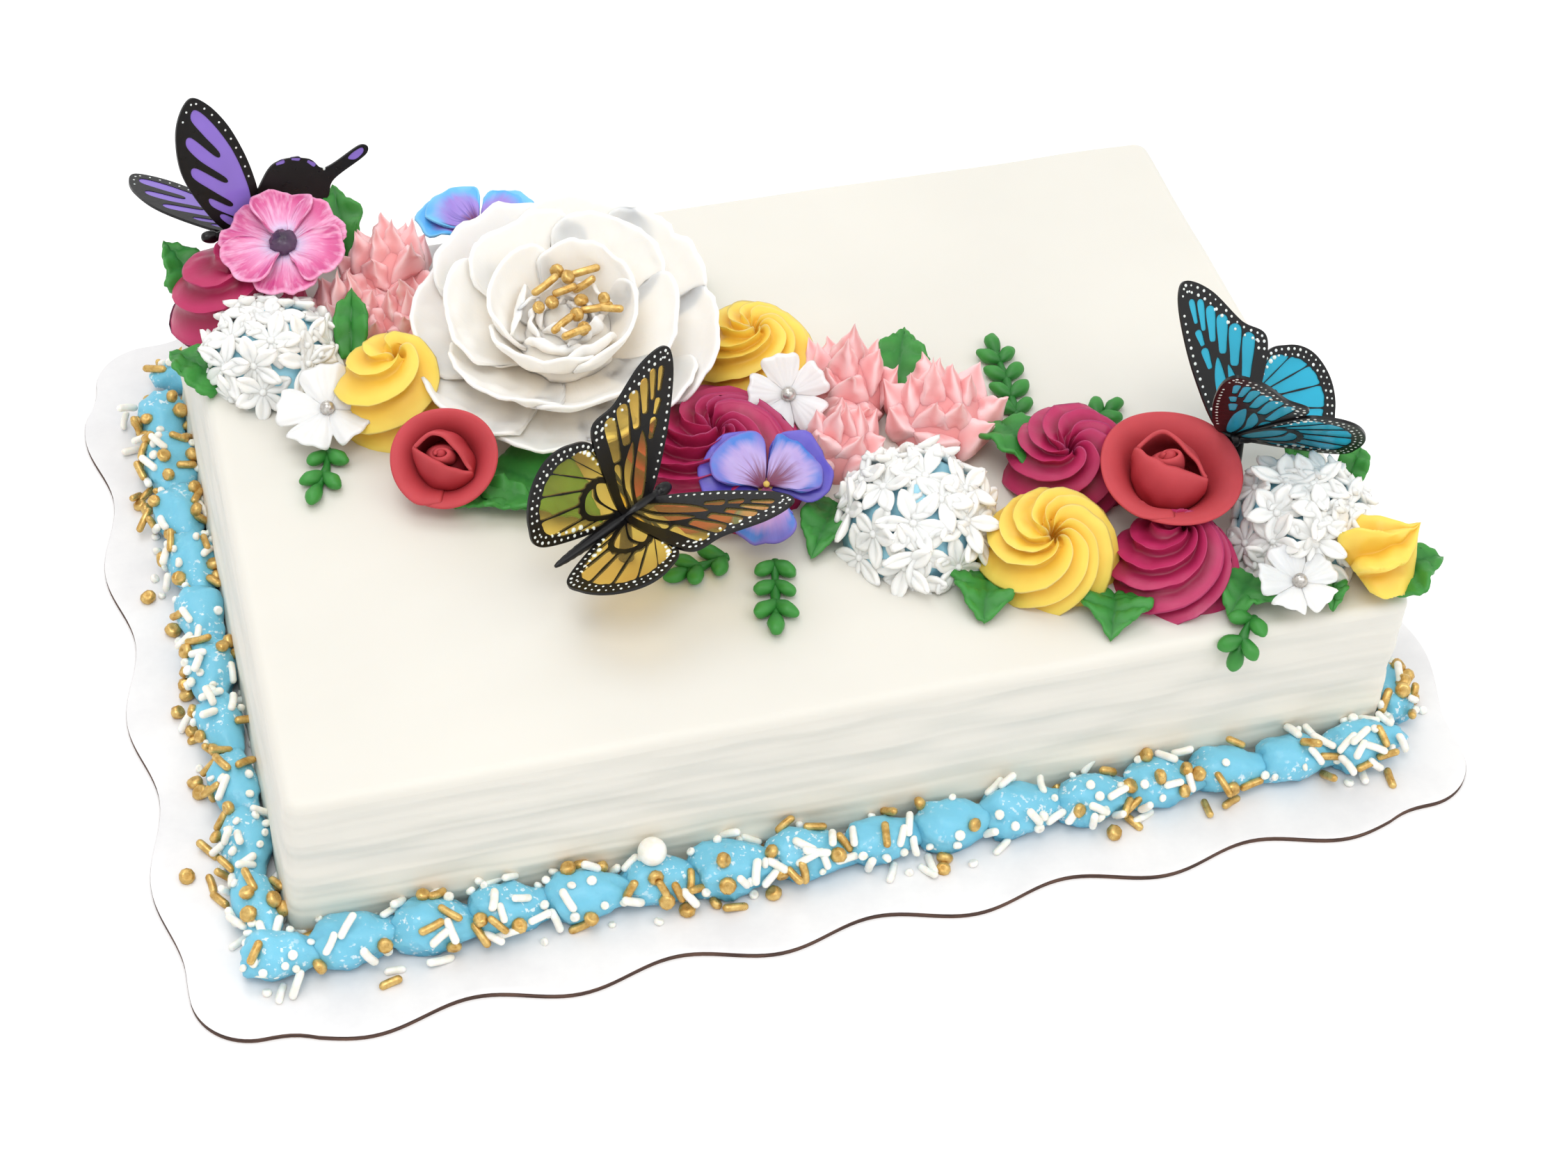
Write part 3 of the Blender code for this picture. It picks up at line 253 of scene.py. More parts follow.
class Paint:
    """A node material built round one Principled shader."""

    def __init__(self, name, colour, **sockets):
        self.material = bpy.data.materials.new(name)
        self.material.use_nodes = True
        self.tree = self.material.node_tree
        self.shader = self.tree.nodes["Principled BSDF"]
        self.output = self.tree.nodes["Material Output"]
        self.shader.inputs["Base Color"].default_value = colour
        for socket, value in sockets.items():
            self.shader.inputs[socket.replace("_", " ")].default_value = value
        self.heights = None

    def node(self, kind, inputs=None, **settings):
        made = self.tree.nodes.new(kind)
        for key, value in settings.items():
            setattr(made, key, value)
        for key, value in (inputs or {}).items():
            if isinstance(value, bpy.types.NodeSocket):
                self.tree.links.new(value, made.inputs[key])
            else:
                made.inputs[key].default_value = value
        return made

    def spots(self):
        return self.node("ShaderNodeTexCoord").outputs["Object"]

    def stretched(self, x, y, z):
        """Object coordinates scaled along each axis, for marks that run one way."""
        mapping = self.node("ShaderNodeMapping", {"Vector": self.spots(), "Scale": (x, y, z)})
        return mapping.outputs["Vector"]

    def noise(self, scale, detail=2.0, roughness=0.5, vector=None):
        inputs = {"Scale": scale, "Detail": detail, "Roughness": roughness, "Vector": vector or self.spots()}
        return self.node("ShaderNodeTexNoise", inputs).outputs["Fac"]

    def attribute(self, name, output="Fac"):
        return self.node("ShaderNodeAttribute", attribute_name=name).outputs[output]

    def math(self, operation, a, b=0.0):
        return self.node("ShaderNodeMath", {0: a, 1: b}, operation=operation).outputs[0]

    def ramp(self, value, *stops):
        """Colours or numbers that follow a value, from (position, colour) pairs."""
        made = self.node("ShaderNodeValToRGB", {"Fac": value})
        elements = made.color_ramp.elements
        while len(elements) < len(stops):
            elements.new(0.5)
        for element, (position, colour) in zip(elements, stops):
            element.position = position
            element.color = colour if isinstance(colour, tuple) else (colour, colour, colour, 1.0)
        return made.outputs["Color"]

    def mix(self, factor, a, b, blend="MIX"):
        made = self.node("ShaderNodeMix", {0: factor, 6: a, 7: b}, data_type="RGBA", blend_type=blend)
        return made.outputs[2]

    def colour(self, socket):
        self.tree.links.new(socket, self.shader.inputs["Base Color"])

    def roughness(self, socket):
        self.tree.links.new(socket, self.shader.inputs["Roughness"])

    def bump(self, height, strength, distance):
        """One more layer of fine relief, its depth given in millimetres."""
        inputs = {"Height": height, "Strength": strength, "Distance": distance * MM}
        if self.heights:
            inputs["Normal"] = self.heights
        self.heights = self.node("ShaderNodeBump", inputs).outputs["Normal"]
        self.tree.links.new(self.heights, self.shader.inputs["Normal"])


def soft(name, light, deep, roughness=0.45, glow=0.25, grain=0.12, streaks=None):
    """Buttercream or sugar paste with a faint grain, deeper where a form's tone is low and lighter where it is high: on
    piped forms that is painted shade in the folds and a lighter painted colour on the ridges.
    """
    sockets = {"Subsurface Weight": glow, "Subsurface Scale": 0.004, "Specular IOR Level": 0.4}
    paint = Paint(name, light, Roughness=roughness, **sockets)
    paint.shader.inputs["Subsurface Radius"].default_value = (1.0, 0.75, 0.6)
    # Painted shade: the deep colour goes where the tone is low, in folds, grooves and hollows.
    body = paint.ramp(paint.attribute("tone"), (0.0, deep), (0.75, light))
    cloud = paint.ramp(paint.noise(90, 3), (0.3, 0.93), (0.7, 1.0))
    body = paint.mix(1.0, body, cloud, "MULTIPLY")
    paint.colour(body)
    paint.roughness(paint.ramp(paint.noise(260, 2), (0.3, roughness - 0.06), (0.7, roughness + 0.08)))
    paint.bump(paint.noise(420, 3, 0.6), 0.5, grain)
    if streaks:
        paint.bump(paint.noise(1500, 2, 0.6), 0.4, 0.05)
    return paint


def sky_icing():
    """Blue buttercream with white specks in patches, partly sugar grains and partly painted glints, and painted shade
    low on each bead.
    """
    light, deep = linear(118, 194, 220), linear(82, 168, 202)
    paint = soft("icing_sky", light, deep, 0.34, 0.25, 0.4, True)
    # Painted shade: each bead turns deeper blue towards its foot on the board, following the tone.
    base = paint.ramp(paint.attribute("tone"), (0.0, deep), (0.75, light))
    # Small white flecks: partly sugar grains, partly painted highlights.
    fleck_and_glint = paint.ramp(paint.noise(620, 2, 0.55), (0.58, 0.0), (0.66, 0.8))
    patch = paint.ramp(paint.noise(70, 2), (0.46, 0.0), (0.58, 1.0))
    paint.colour(paint.mix(paint.math("MULTIPLY", fleck_and_glint, patch), base, linear(240, 246, 248)))
    return paint


def cake_icing():
    sockets = {"Subsurface Weight": 0.3, "Subsurface Scale": 0.005, "Specular IOR Level": 0.35}
    paint = Paint("icing_ivory", linear(218, 215, 206), Roughness=0.5, **sockets)
    paint.shader.inputs["Subsurface Radius"].default_value = (1.0, 0.85, 0.7)
    cloud = paint.ramp(paint.noise(14, 3), (0.3, linear(217, 214, 205)), (0.7, linear(221, 218, 209)))
    line = paint.ramp(paint.noise(60, 3, 0.6, paint.stretched(0.05, 0.05, 6.0)), (0.35, 0.98), (0.6, 1.0))
    body = paint.mix(paint.attribute("tone"), cloud, paint.mix(1.0, cloud, line, "MULTIPLY"))
    # Painted light: the wall turns lighter and warmer towards its foot, to lift the shade there.
    paint.colour(paint.mix(paint.attribute("place"), body, linear(240, 231, 215)))
    paint.bump(paint.noise(60, 3, 0.6, paint.stretched(0.05, 0.05, 8.0)), 0.4, 0.08)
    paint.bump(paint.noise(300, 2), 0.3, 0.05)
    return paint


def board_card():
    paint = Paint("card_white", linear(230, 229, 230), Roughness=0.42)
    paint.shader.inputs["Coat Weight"].default_value = 0.15
    cloud = paint.ramp(paint.noise(30, 5, 0.65), (0.35, linear(221, 220, 221)), (0.62, linear(232, 231, 231)))
    paint.colour(cloud)
    paint.roughness(paint.ramp(paint.noise(70, 4), (0.35, 0.34), (0.65, 0.5)))
    paint.bump(paint.noise(55, 4), 0.35, 0.12)
    paint.bump(paint.noise(900, 2), 0.2, 0.02)
    return paint


def board_edge():
    paint = Paint("card_edge", linear(70, 50, 42), Roughness=0.85)
    fibre = paint.noise(220, 3, 0.7, paint.stretched(0.4, 0.4, 6.0))
    paint.colour(paint.ramp(fibre, (0.35, linear(52, 36, 32)), (0.65, linear(98, 72, 60))))
    paint.bump(fibre, 0.5, 0.1)
    return paint


def kraft_underside():
    paint = Paint("card_underside", linear(150, 120, 92), Roughness=0.85)
    fibre = paint.noise(160, 4, 0.7, paint.stretched(3.0, 0.6, 1.0))
    paint.colour(paint.ramp(fibre, (0.35, linear(138, 110, 84)), (0.65, linear(165, 134, 104))))
    paint.bump(fibre, 0.4, 0.05)
    return paint


def gold_dust():
    paint = Paint("gold_lustre", linear(200, 158, 84), Roughness=0.34, Metallic=0.6)
    cloud = paint.noise(420, 3, 0.6)
    paint.colour(paint.ramp(cloud, (0.3, linear(182, 136, 64)), (0.7, linear(232, 198, 124))))
    paint.roughness(paint.ramp(paint.noise(900, 2), (0.3, 0.26), (0.7, 0.5)))
    paint.bump(paint.noise(1400, 2), 0.3, 0.05)
    return paint


def sugar_white(name="sugar_white"):
    paint = Paint(name, linear(244, 242, 232), Roughness=0.35, **{"Subsurface Weight": 0.2})
    paint.shader.inputs["Subsurface Scale"].default_value = 0.002
    paint.colour(paint.ramp(paint.noise(400, 2), (0.3, linear(236, 233, 220)), (0.7, linear(250, 249, 243))))
    paint.bump(paint.noise(1200, 2), 0.3, 0.04)
    return paint


def silver():
    paint = Paint("silver_dragee", linear(190, 186, 180), Roughness=0.25, Metallic=0.7)
    paint.colour(paint.ramp(paint.noise(900, 2), (0.3, linear(166, 160, 154)), (0.7, linear(216, 212, 206))))
    paint.bump(paint.noise(700, 2), 0.4, 0.08)
    return paint


def pearl_paste(name="pearl_paste", light=(250, 246, 239), deep=(236, 218, 194)):
    """White sugar paste with a pearly sheen on its petals."""
    sockets = {"Subsurface Weight": 0.7, "Subsurface Scale": 0.005, "Specular IOR Level": 0.5}
    paint = Paint(name, linear(*light), Roughness=0.38, **sockets)
    paint.shader.inputs["Subsurface Radius"].default_value = (1.0, 0.85, 0.7)
    paint.shader.inputs["Sheen Weight"].default_value = 0.15
    # Painted warm shade: the deep colour goes at petal roots and in creases, where the tone is low.
    base = paint.ramp(paint.attribute("tone"), (0.05, linear(*deep)), (0.7, linear(*light)))
    cloud = paint.ramp(paint.noise(60, 4), (0.3, 0.985), (0.7, 1.0))
    paint.colour(paint.mix(1.0, base, cloud, "MULTIPLY"))
    paint.roughness(paint.ramp(paint.noise(120, 3), (0.3, 0.3), (0.7, 0.46)))
    veins = paint.noise(1.0, 3, 0.6, petal_grain(paint, 9.0, 1.2))
    paint.bump(veins, 0.4, 0.25)
    paint.bump(paint.noise(700, 2), 0.3, 0.05)
    return paint


def petal_grain(paint, across, along):
    """Petal coordinates stretched so that noise runs from the heart of a flower to its rim."""
    inputs = {"Vector": paint.attribute("place", "Vector"), "Scale": (across, along, 1.0)}
    return paint.node("ShaderNodeMapping", inputs).outputs["Vector"]


def rose_paste():
    sockets = {"Subsurface Weight": 0.15, "Subsurface Scale": 0.002, "Specular IOR Level": 0.25}
    paint = Paint("rose_paste", linear(205, 78, 78), Roughness=0.62, **sockets)
    # Painted shade: darker red deep in the cup and bud, where the tone is low.
    base = paint.ramp(paint.attribute("tone"), (0.0, linear(158, 40, 50)), (0.8, linear(192, 74, 80)))
    cloud = paint.ramp(paint.noise(120, 3), (0.3, 0.92), (0.7, 1.0))
    paint.colour(paint.mix(1.0, base, cloud, "MULTIPLY"))
    paint.bump(paint.noise(1300, 3, 0.6), 0.5, 0.05)
    return paint


def anemone_print():
    """Pink petals with pale streaks that whiten towards the heart, and pale rims."""
    paint = Paint("anemone_print", linear(232, 116, 170), Roughness=0.36, **{"Subsurface Weight": 0.12})
    paint.shader.inputs["Subsurface Scale"].default_value = 0.002
    reach = paint.attribute("tone")
    base = paint.ramp(
        reach,
        (0.12, linear(146, 116, 166)),
        (0.27, linear(212, 188, 220)),
        (0.46, linear(224, 146, 188)),
        (0.74, linear(208, 86, 144)),
        (0.9, linear(196, 74, 132)),
        (0.98, linear(232, 148, 188)),
    )
    streak = paint.ramp(paint.noise(1.0, 3, 0.65, petal_grain(paint, 5.0, 2.2)), (0.46, 0.0), (0.7, 0.6))
    base = paint.mix(streak, base, linear(240, 196, 224))
    dark = paint.ramp(paint.noise(1.0, 2, 0.6, petal_grain(paint, 8.0, 1.6)), (0.56, 0.0), (0.7, 0.45))
    paint.colour(paint.mix(dark, base, linear(184, 56, 122)))
    paint.bump(paint.noise(1.0, 3, 0.6, petal_grain(paint, 9.0, 1.5)), 0.6, 0.35)
    return paint


def pansy_print(name, heart, inner, outer, rim, streak_colour):
    """Printed petals: a dark streaked heart, a pale middle, a clouded outer part and a thin rim."""
    paint = Paint(name, inner, Roughness=0.38, **{"Subsurface Weight": 0.1})
    paint.shader.inputs["Subsurface Scale"].default_value = 0.002
    reach = paint.attribute("tone")
    frayed = paint.noise(1.0, 3, 0.6, petal_grain(paint, 7.0, 0.8))
    warped = paint.math("ADD", reach, paint.math("MULTIPLY", paint.math("SUBTRACT", frayed, 0.5), 0.26))
    base = paint.ramp(warped, (0.14, heart), (0.3, inner), (0.58, inner), (0.78, outer), (0.92, outer))
    cloud = paint.ramp(paint.noise(1.0, 2, 0.5, petal_grain(paint, 1.3, 1.3)), (0.42, 0.0), (0.6, 0.75))
    base = paint.mix(cloud, base, paint.ramp(reach, (0.2, heart), (0.42, inner), (0.9, rim)))
    base = paint.mix(paint.ramp(reach, (0.9, 0.0), (0.97, 1.0)), base, rim)
    streak = paint.ramp(paint.noise(1.0, 2, 0.6, petal_grain(paint, 10.0, 0.6)), (0.46, 0.0), (0.62, 0.9))
    fade = paint.ramp(reach, (0.22, 1.0), (0.52, 0.0))
    paint.colour(paint.mix(paint.math("MULTIPLY", streak, fade), base, streak_colour))
    paint.bump(paint.noise(1.0, 3, 0.6, petal_grain(paint, 9.0, 1.5)), 0.5, 0.25)
    return paint


def gloss_black():
    paint = Paint("plastic_black", linear(16, 15, 17), Roughness=0.32, **{"Specular IOR Level": 0.35})
    paint.roughness(paint.ramp(paint.noise(600, 2), (0.3, 0.27), (0.7, 0.4)))
    paint.bump(paint.noise(500, 2), 0.15, 0.03)
    return paint


def wing_film(name, tint, clear):
    """Thin tinted plastic: part of the light goes through it in its own colour."""
    paint = Paint(name, tint, Roughness=0.15)
    shade = paint.ramp(paint.noise(60, 2), (0.35, tint), (0.65, tuple(min(1.0, 1.12 * value) for value in tint)))
    paint.colour(shade)
    through = paint.node("ShaderNodeBsdfTransparent", {"Color": shade})
    made = paint.node("ShaderNodeMixShader", {0: 1 - clear, 1: through.outputs[0], 2: paint.shader.outputs[0]})
    paint.tree.links.new(made.outputs[0], paint.output.inputs["Surface"])
    return paint


# Camera, light and floor


def add_camera():
    """The photograph's viewpoint: heading, height and a slight roll."""
    heading, height, roll = (math.radians(value) for value in (-17.558, 46.248, 3.059))
    back = Vector(
        (math.sin(heading) * math.cos(height), -math.cos(heading) * math.cos(height), math.sin(height))
    )
    level = (-back).cross(Vector((0, 0, 1))).normalized()
    upright = level.cross(-back)
    right = level * math.cos(roll) + upright * math.sin(roll)
    up = upright * math.cos(roll) - level * math.sin(roll)
    lens = bpy.data.cameras.new("camera")
    lens.sensor_width = 36.0
    lens.lens = 63.53
    lens.clip_start = 0.02
    lens.clip_end = 20.0
    camera = bpy.data.objects.new("camera", lens)
    turn = Matrix((right, up, back)).transposed().to_4x4()
    camera.matrix_world = Matrix.Translation((-0.1737, -0.5911, 0.6395)) @ turn
    bpy.context.scene.collection.objects.link(camera)
    bpy.context.scene.camera = camera


def add_light():
    world = bpy.data.worlds.new("studio")
    world.use_nodes = True
    background = world.node_tree.nodes["Background"]
    background.inputs["Color"].default_value = (1.0, 1.0, 1.0, 1.0)
    background.inputs["Strength"].default_value = 0.86
    bpy.context.scene.world = world
    bpy.context.scene.view_settings.view_transform = "Standard"
    for name, spot, size, power in (
        ("key", (-0.35, -0.65, 2.0), 1.1, 12.5),
        ("back", (-0.25, 0.85, 1.8), 1.2, 7.5),
        ("side", (0.9, -0.9, 1.3), 1.2, 5.0),
    ):
        light = bpy.data.lights.new(name, "AREA")
        light.shape = "DISK"
        light.size = size
        light.energy = power
        lamp = bpy.data.objects.new(name, light)
        aimed = (-Vector(spot)).to_track_quat("-Z", "Y").to_matrix().to_4x4()
        lamp.matrix_world = Matrix.Translation(spot) @ aimed
        bpy.context.scene.collection.objects.link(lamp)


def add_floor():
    mesh = bpy.data.meshes.new("floor")
    reach = 8.0
    mesh.from_pydata([(-reach, -reach, 0), (reach, -reach, 0), (reach, reach, 0), (-reach, reach, 0)], [], [(0, 1, 2, 3)])
    paint = Paint("floor_white", (0.98, 0.98, 0.98, 1.0), Roughness=0.9, **{"Specular IOR Level": 0.1})
    paint.colour(paint.ramp(paint.noise(3, 2), (0.3, 0.975), (0.7, 0.985)))
    mesh.materials.append(paint.material)
    floor = bpy.data.objects.new("floor", mesh)
    bpy.context.scene.collection.objects.link(floor)


# Board and cake


def board_outline():
    """The scalloped edge, anticlockwise: waves on the sides and plain round corners."""
    run_x = BOARD_HALF_LENGTH - BOARD_CORNER
    run_y = BOARD_HALF_DEPTH - BOARD_CORNER
    outline = []
    sides = (
        (0, run_x, 6, 0.0, BOARD_HALF_DEPTH),
        (90, run_y, 4, 8.5, BOARD_HALF_LENGTH),
        (180, run_x, 6, 0.0, BOARD_HALF_DEPTH),
        (270, run_y, 4, -8.5, BOARD_HALF_LENGTH),
    )
    for turn, run, count, shift, offset in sides:
        spin = math.radians(turn)
        along = np.linspace(-run, run, 24 * count + 1)
        wave = np.sin(math.pi * count * (along - shift + run) / (2 * run)) ** 2
        wave *= SCALLOP * np.minimum(1.0, (run - np.abs(along)) / 14)
        corner = np.radians(np.linspace(-90, 0, 17))[1:-1]
        x = np.concatenate([along, run + BOARD_CORNER * np.cos(corner)])
        y = np.concatenate([-offset - wave, -offset + BOARD_CORNER + BOARD_CORNER * np.sin(corner)])
        outline.append(np.stack([x * math.cos(spin) - y * math.sin(spin), x * math.sin(spin) + y * math.cos(spin)], 1))
    return np.vstack(outline)


def add_board():
    form = Form()
    outline = board_outline() - np.array((6.0, 0.0))
    middle = outline.mean(axis=0)
    low = BOARD_TOP - BOARD_THICKNESS + 0.02
    rows = [(1.0, low + 0.15), (1.0, BOARD_TOP - 0.35), (0.9995, BOARD_TOP - 0.1), (0.998, BOARD_TOP)]
    rows += [(k, BOARD_TOP) for k in np.linspace(0.985, 0.0, 10)]
    points = np.array([np.c_[middle + (outline - middle) * k, np.full(len(outline), z)] for k, z in rows])
    lift = 0.35 * bumps(points[..., :2], 120, 5) * smooth_step(np.array([k for k, _ in rows]), 1.0, 0.8)[:, None]
    points[..., 2] += lift * 0.4
    count = len(outline)
    faces = grid_faces(len(rows), count, wrap=True)
    form.add(points, faces[: count * 2], slot=1)
    form.add(points, faces[count * 2 :], slot=0)
    under = np.array([np.c_[middle + (outline - middle) * k, np.full(count, z)] for k, z in ((1.0, low + 0.15), (0.998, low), (0.0, low))])
    form.add(under, grid_faces(3, count, wrap=True), slot=2)
    form.make("board_card", (board_card(), board_edge(), kraft_underside()), "board", ["board"], sharp=40)


def add_cake(icing):
    """The iced block, with the comb's wavy lines round its walls and a smooth, faintly uneven top."""
    form = Form()
    corner = 5.0
    half = np.array((CAKE_LENGTH / 2, CAKE_DEPTH / 2))
    pieces = []
    for turn in range(4):
        spin = math.radians(90 * turn)
        run, offset = (half[0], half[1]) if turn % 2 == 0 else (half[1], half[0])
        along = np.linspace(-(run - corner), run - corner, 84 if turn % 2 == 0 else 60)
        bend = np.radians(np.linspace(-90, 0, 8))[1:-1]
        x = np.concatenate([along, run - corner + corner * np.cos(bend)])
        y = np.concatenate([np.full_like(along, -offset), -offset + corner + corner * np.sin(bend)])
        pieces.append(np.stack([x * math.cos(spin) - y * math.sin(spin), x * math.sin(spin) + y * math.cos(spin)], 1))
    outline = np.vstack(pieces)
    out = np.roll(outline, -1, axis=0) - np.roll(outline, 1, axis=0)
    out = np.stack([out[:, 1], -out[:, 0]], 1)
    out /= np.linalg.norm(out, axis=1, keepdims=True)
    run = np.concatenate([[0], np.cumsum(np.linalg.norm(np.diff(outline, axis=0), axis=1))])
    phase = 2 * math.pi * run / (run[-1] + 3)
    rng = np.random.default_rng(3)
    levels = np.concatenate([np.arange(-CAKE_HEIGHT, -CAKE_EDGE, 0.66), [-CAKE_EDGE]])
    rows = []
    tones = []
    # The left wall leans out further than the others, most of all towards the back, and the right one not at all.
    flare = CAKE_FLARE + (LEFT_LEAN + 1.7 * outline[:, 1:] / half[1]) * smooth_step(-out[:, :1], 0.2, 0.9)
    flare -= 2.2 * smooth_step(out[:, :1], 0.2, 0.9)
    for z in levels:
        rows.append(np.c_[outline + out * flare * (-z / CAKE_HEIGHT), np.full(len(outline), z)])
        tones.append(1.0)
    wall = np.array(rows)
    height = wall[..., 2]
    comb = np.zeros_like(height)
    for size, depth in ((7.3, 0.06), (4.4, 0.07), (2.7, 0.04), (12.0, 0.07)):
        sway = rng.uniform(0, 6.3) + 0.7 * wobble(phase, rng, 5) + 0.25 * wobble(phase, rng, 4, 6.0)
        swell = 0.75 + 0.35 * wobble(phase, rng, 4, 3.0)
        comb += depth * swell[None, :] * np.sin(2 * math.pi * height / size + sway[None, :])
    comb += 0.28 * bumps(wall / np.array((1.0, 1.0, 0.35)), 34, 8)
    fade = smooth_step(height, -CAKE_EDGE, -CAKE_EDGE - 4) * smooth_step(height, -CAKE_HEIGHT, -CAKE_HEIGHT + 3)
    wall[..., :2] += out[None] * (comb * fade)[..., None]
    edge = []
    for step in range(1, 9):
        bend = math.radians(90 * step / 8)
        inset = CAKE_EDGE * (1 - math.cos(bend))
        edge.append(np.c_[outline - out * inset, np.full(len(outline), -CAKE_EDGE + CAKE_EDGE * math.sin(bend))])
        tones.append(1.0 - step / 8)
    last = edge[-1][:, :2]
    top = []
    for k in np.concatenate([[0.985, 0.965], np.linspace(0.94, 0.0, 26)]):
        top.append(np.c_[last * k, np.zeros(len(outline))])
        tones.append(0.0)
    points = np.concatenate([wall, np.array(edge), np.array(top)])
    upper = points[len(wall) :]
    rise = 0.16 * bumps(upper[..., :2], 60, 11) + 0.10 * bumps(upper[..., :2] * np.array((0.3, 1.0)), 22, 12)
    upper[..., 2] += np.minimum(rise, 0.25) - 0.12
    tone = np.repeat(np.array(tones)[:, None], len(outline), axis=1)
    # Mask for the painted light on the lower part of the walls.
    low = smooth_step(points[..., 2:], -CAKE_HEIGHT * 0.45, -CAKE_HEIGHT * 0.85) * np.ones(3)
    form.add(points, grid_faces(len(points), len(outline), wrap=True), tone, low)
    low = np.array([points[0], points[0] * np.array((0.0, 0.0, 1.0))])
    form.add(low, grid_faces(2, len(outline), wrap=True), 1.0)
    form.make("cake_icing", (icing,), "icing_white", ["cake"])


# Border and sprinkles


BEAD_SPACING = 22.4
PEARL_SPOT = (-65.0, -119.5, 0.0)
LONE_BEADS = ((-193.5, -86), (-192, 26), (-188, 65), (-186, -56), (-187, -52))
LONE_RODS = ((-191, 70), (-187.5, 72), (-187, -90))


def bead(rng):
    """A piped bead along X: a full round head and a tail drawn out under the next one."""
    rows, columns = 26, 30
    profile = smooth_curve(
        ((-13.0, 0.0), (-12.6, 3.0), (-10.8, 6.4), (-7.0, 8.5), (-1.5, 8.8), (4.0, 7.4), (9.0, 5.4), (13.5, 3.8), (15.6, 2.0), (16.0, 0.0)),
        rows,
    )
    turn = np.linspace(0, 2 * math.pi, columns, endpoint=False)[None, :]
    x = profile[:, 0][:, None] + 0 * turn
    wide = profile[:, 1][:, None] * rng.uniform(0.92, 1.05)
    tall = wide * rng.uniform(0.9, 1.0)
    points = np.stack([x, wide * np.cos(turn), tall * np.sin(turn)], -1)
    points = points * (1 + 0.045 * bumps(points, 11, rng.integers(1e6), 8)[..., None])
    points = points * (1 + 0.03 * bumps(points, 4.5, rng.integers(1e6), 10)[..., None])
    return points, grid_faces(rows, columns, wrap=True)


def add_border(icing):
    """One strip of beads on each side. Returns the beads as a tree for the sprinkles, with the strips' axes."""
    half_length = CAKE_LENGTH / 2 + CAKE_FLARE
    half_depth = CAKE_DEPTH / 2 + CAKE_FLARE
    rng = np.random.default_rng(11)
    strips = (
        ("front", 2 * half_length + 15, half_depth + 1.0, 0, -8.5, 0.9, 0.0),
        ("right", 2 * half_depth, half_length - 3.5, 90, 0.0, 0.76, 0.0),
        ("back", 2 * half_length + 22, half_depth, 180, 0.0, 0.92, 0.0),
        ("left", 2 * half_depth, half_length + LEFT_LEAN, 270.9, 0.0, 0.87, -0.13),
    )
    found = []
    all_points = []
    all_faces = []
    count = 0
    for name, length, inset, turn, shift, girth, taper in strips:
        form = Form()
        spin = Matrix.Rotation(math.radians(turn), 4, "Z") @ Matrix.Translation((shift, 0, 0))
        beads = round(length / BEAD_SPACING)
        for index in range(beads):
            x = (index - (beads - 1) / 2) * length / beads
            points, faces = bead(rng)
            width = girth + taper * 2 * x / length
            points = points * np.array((0.96, width, width))
            tilt = Matrix.Rotation(rng.uniform(-0.14, 0.14), 4, "Z") @ Matrix.Rotation(rng.uniform(0.0, 0.07), 4, "Y")
            place = Matrix.Translation((x + rng.uniform(-0.8, 0.8), -inset - 6.8 + rng.uniform(-0.7, 0.7), 0)) @ tilt
            points = moved(points * (rng.uniform(0.93, 1.07)), np.array(spin @ place))
            points[..., 2] += 5.2 + rng.uniform(-0.4, 0.4)
            points[..., 2] = BOARD_TOP + np.maximum(points[..., 2], 0.05)
            # The tone paints shade low on each bead and a lighter colour on its top.
            form.add(points, faces, tone=smooth_step(points[..., 2], BOARD_TOP, BOARD_TOP + 9))
            flat = points.reshape(-1, 3)
            all_points.append(flat)
            all_faces.extend((faces + count).tolist())
            count += len(flat)
        form.make("border_" + name + "_beads", (icing,), "icing_blue", ["border_" + name])
        found.append((length, inset, spin))
    reach = np.array(((-400, -400), (400, -400), (400, 400), (-400, 400)), float)
    all_points.append(np.c_[reach, np.full(4, BOARD_TOP)])
    all_faces.append([count, count + 1, count + 2, count + 3])
    tree = BVHTree.FromPolygons(np.vstack(all_points).tolist(), all_faces)
    return tree, found


def capsule(length, radius, bend, columns=8):
    """A short rod along Z with round ends, bent a little."""
    profile = [(-length / 2 + radius * (1 - math.cos(turn)), radius * math.sin(turn)) for turn in (0.0, 0.6, 1.1, 1.57)]
    profile += [(0.0, radius)]
    profile += [(length / 2 - radius * (1 - math.cos(turn)), radius * math.sin(turn)) for turn in (1.57, 1.1, 0.6, 0.0)]
    profile = np.array(profile)
    turn = np.linspace(0, 2 * math.pi, columns, endpoint=False)[None, :]
    z = profile[:, 0][:, None] + 0 * turn
    r = profile[:, 1][:, None]
    points = np.stack([r * np.cos(turn) + bend * (z / length * 2) ** 2, r * np.sin(turn), z], -1)
    return points, grid_faces(len(profile), columns, wrap=True)


def dimpled_bead(radius, rng):
    points, faces = ball(7, 10)
    points = points * radius * np.array((1.0, rng.uniform(0.9, 1.0), rng.uniform(0.72, 0.86)))
    dent = np.clip(1 - np.hypot(points[..., 0], points[..., 1]) / (0.55 * radius), 0, 1)
    points[..., 2] -= dent * 0.5 * radius * (points[..., 2] > 0)
    return points * (1 + 0.03 * bumps(points, 3.0, rng.integers(1e6), 6)[..., None]), faces


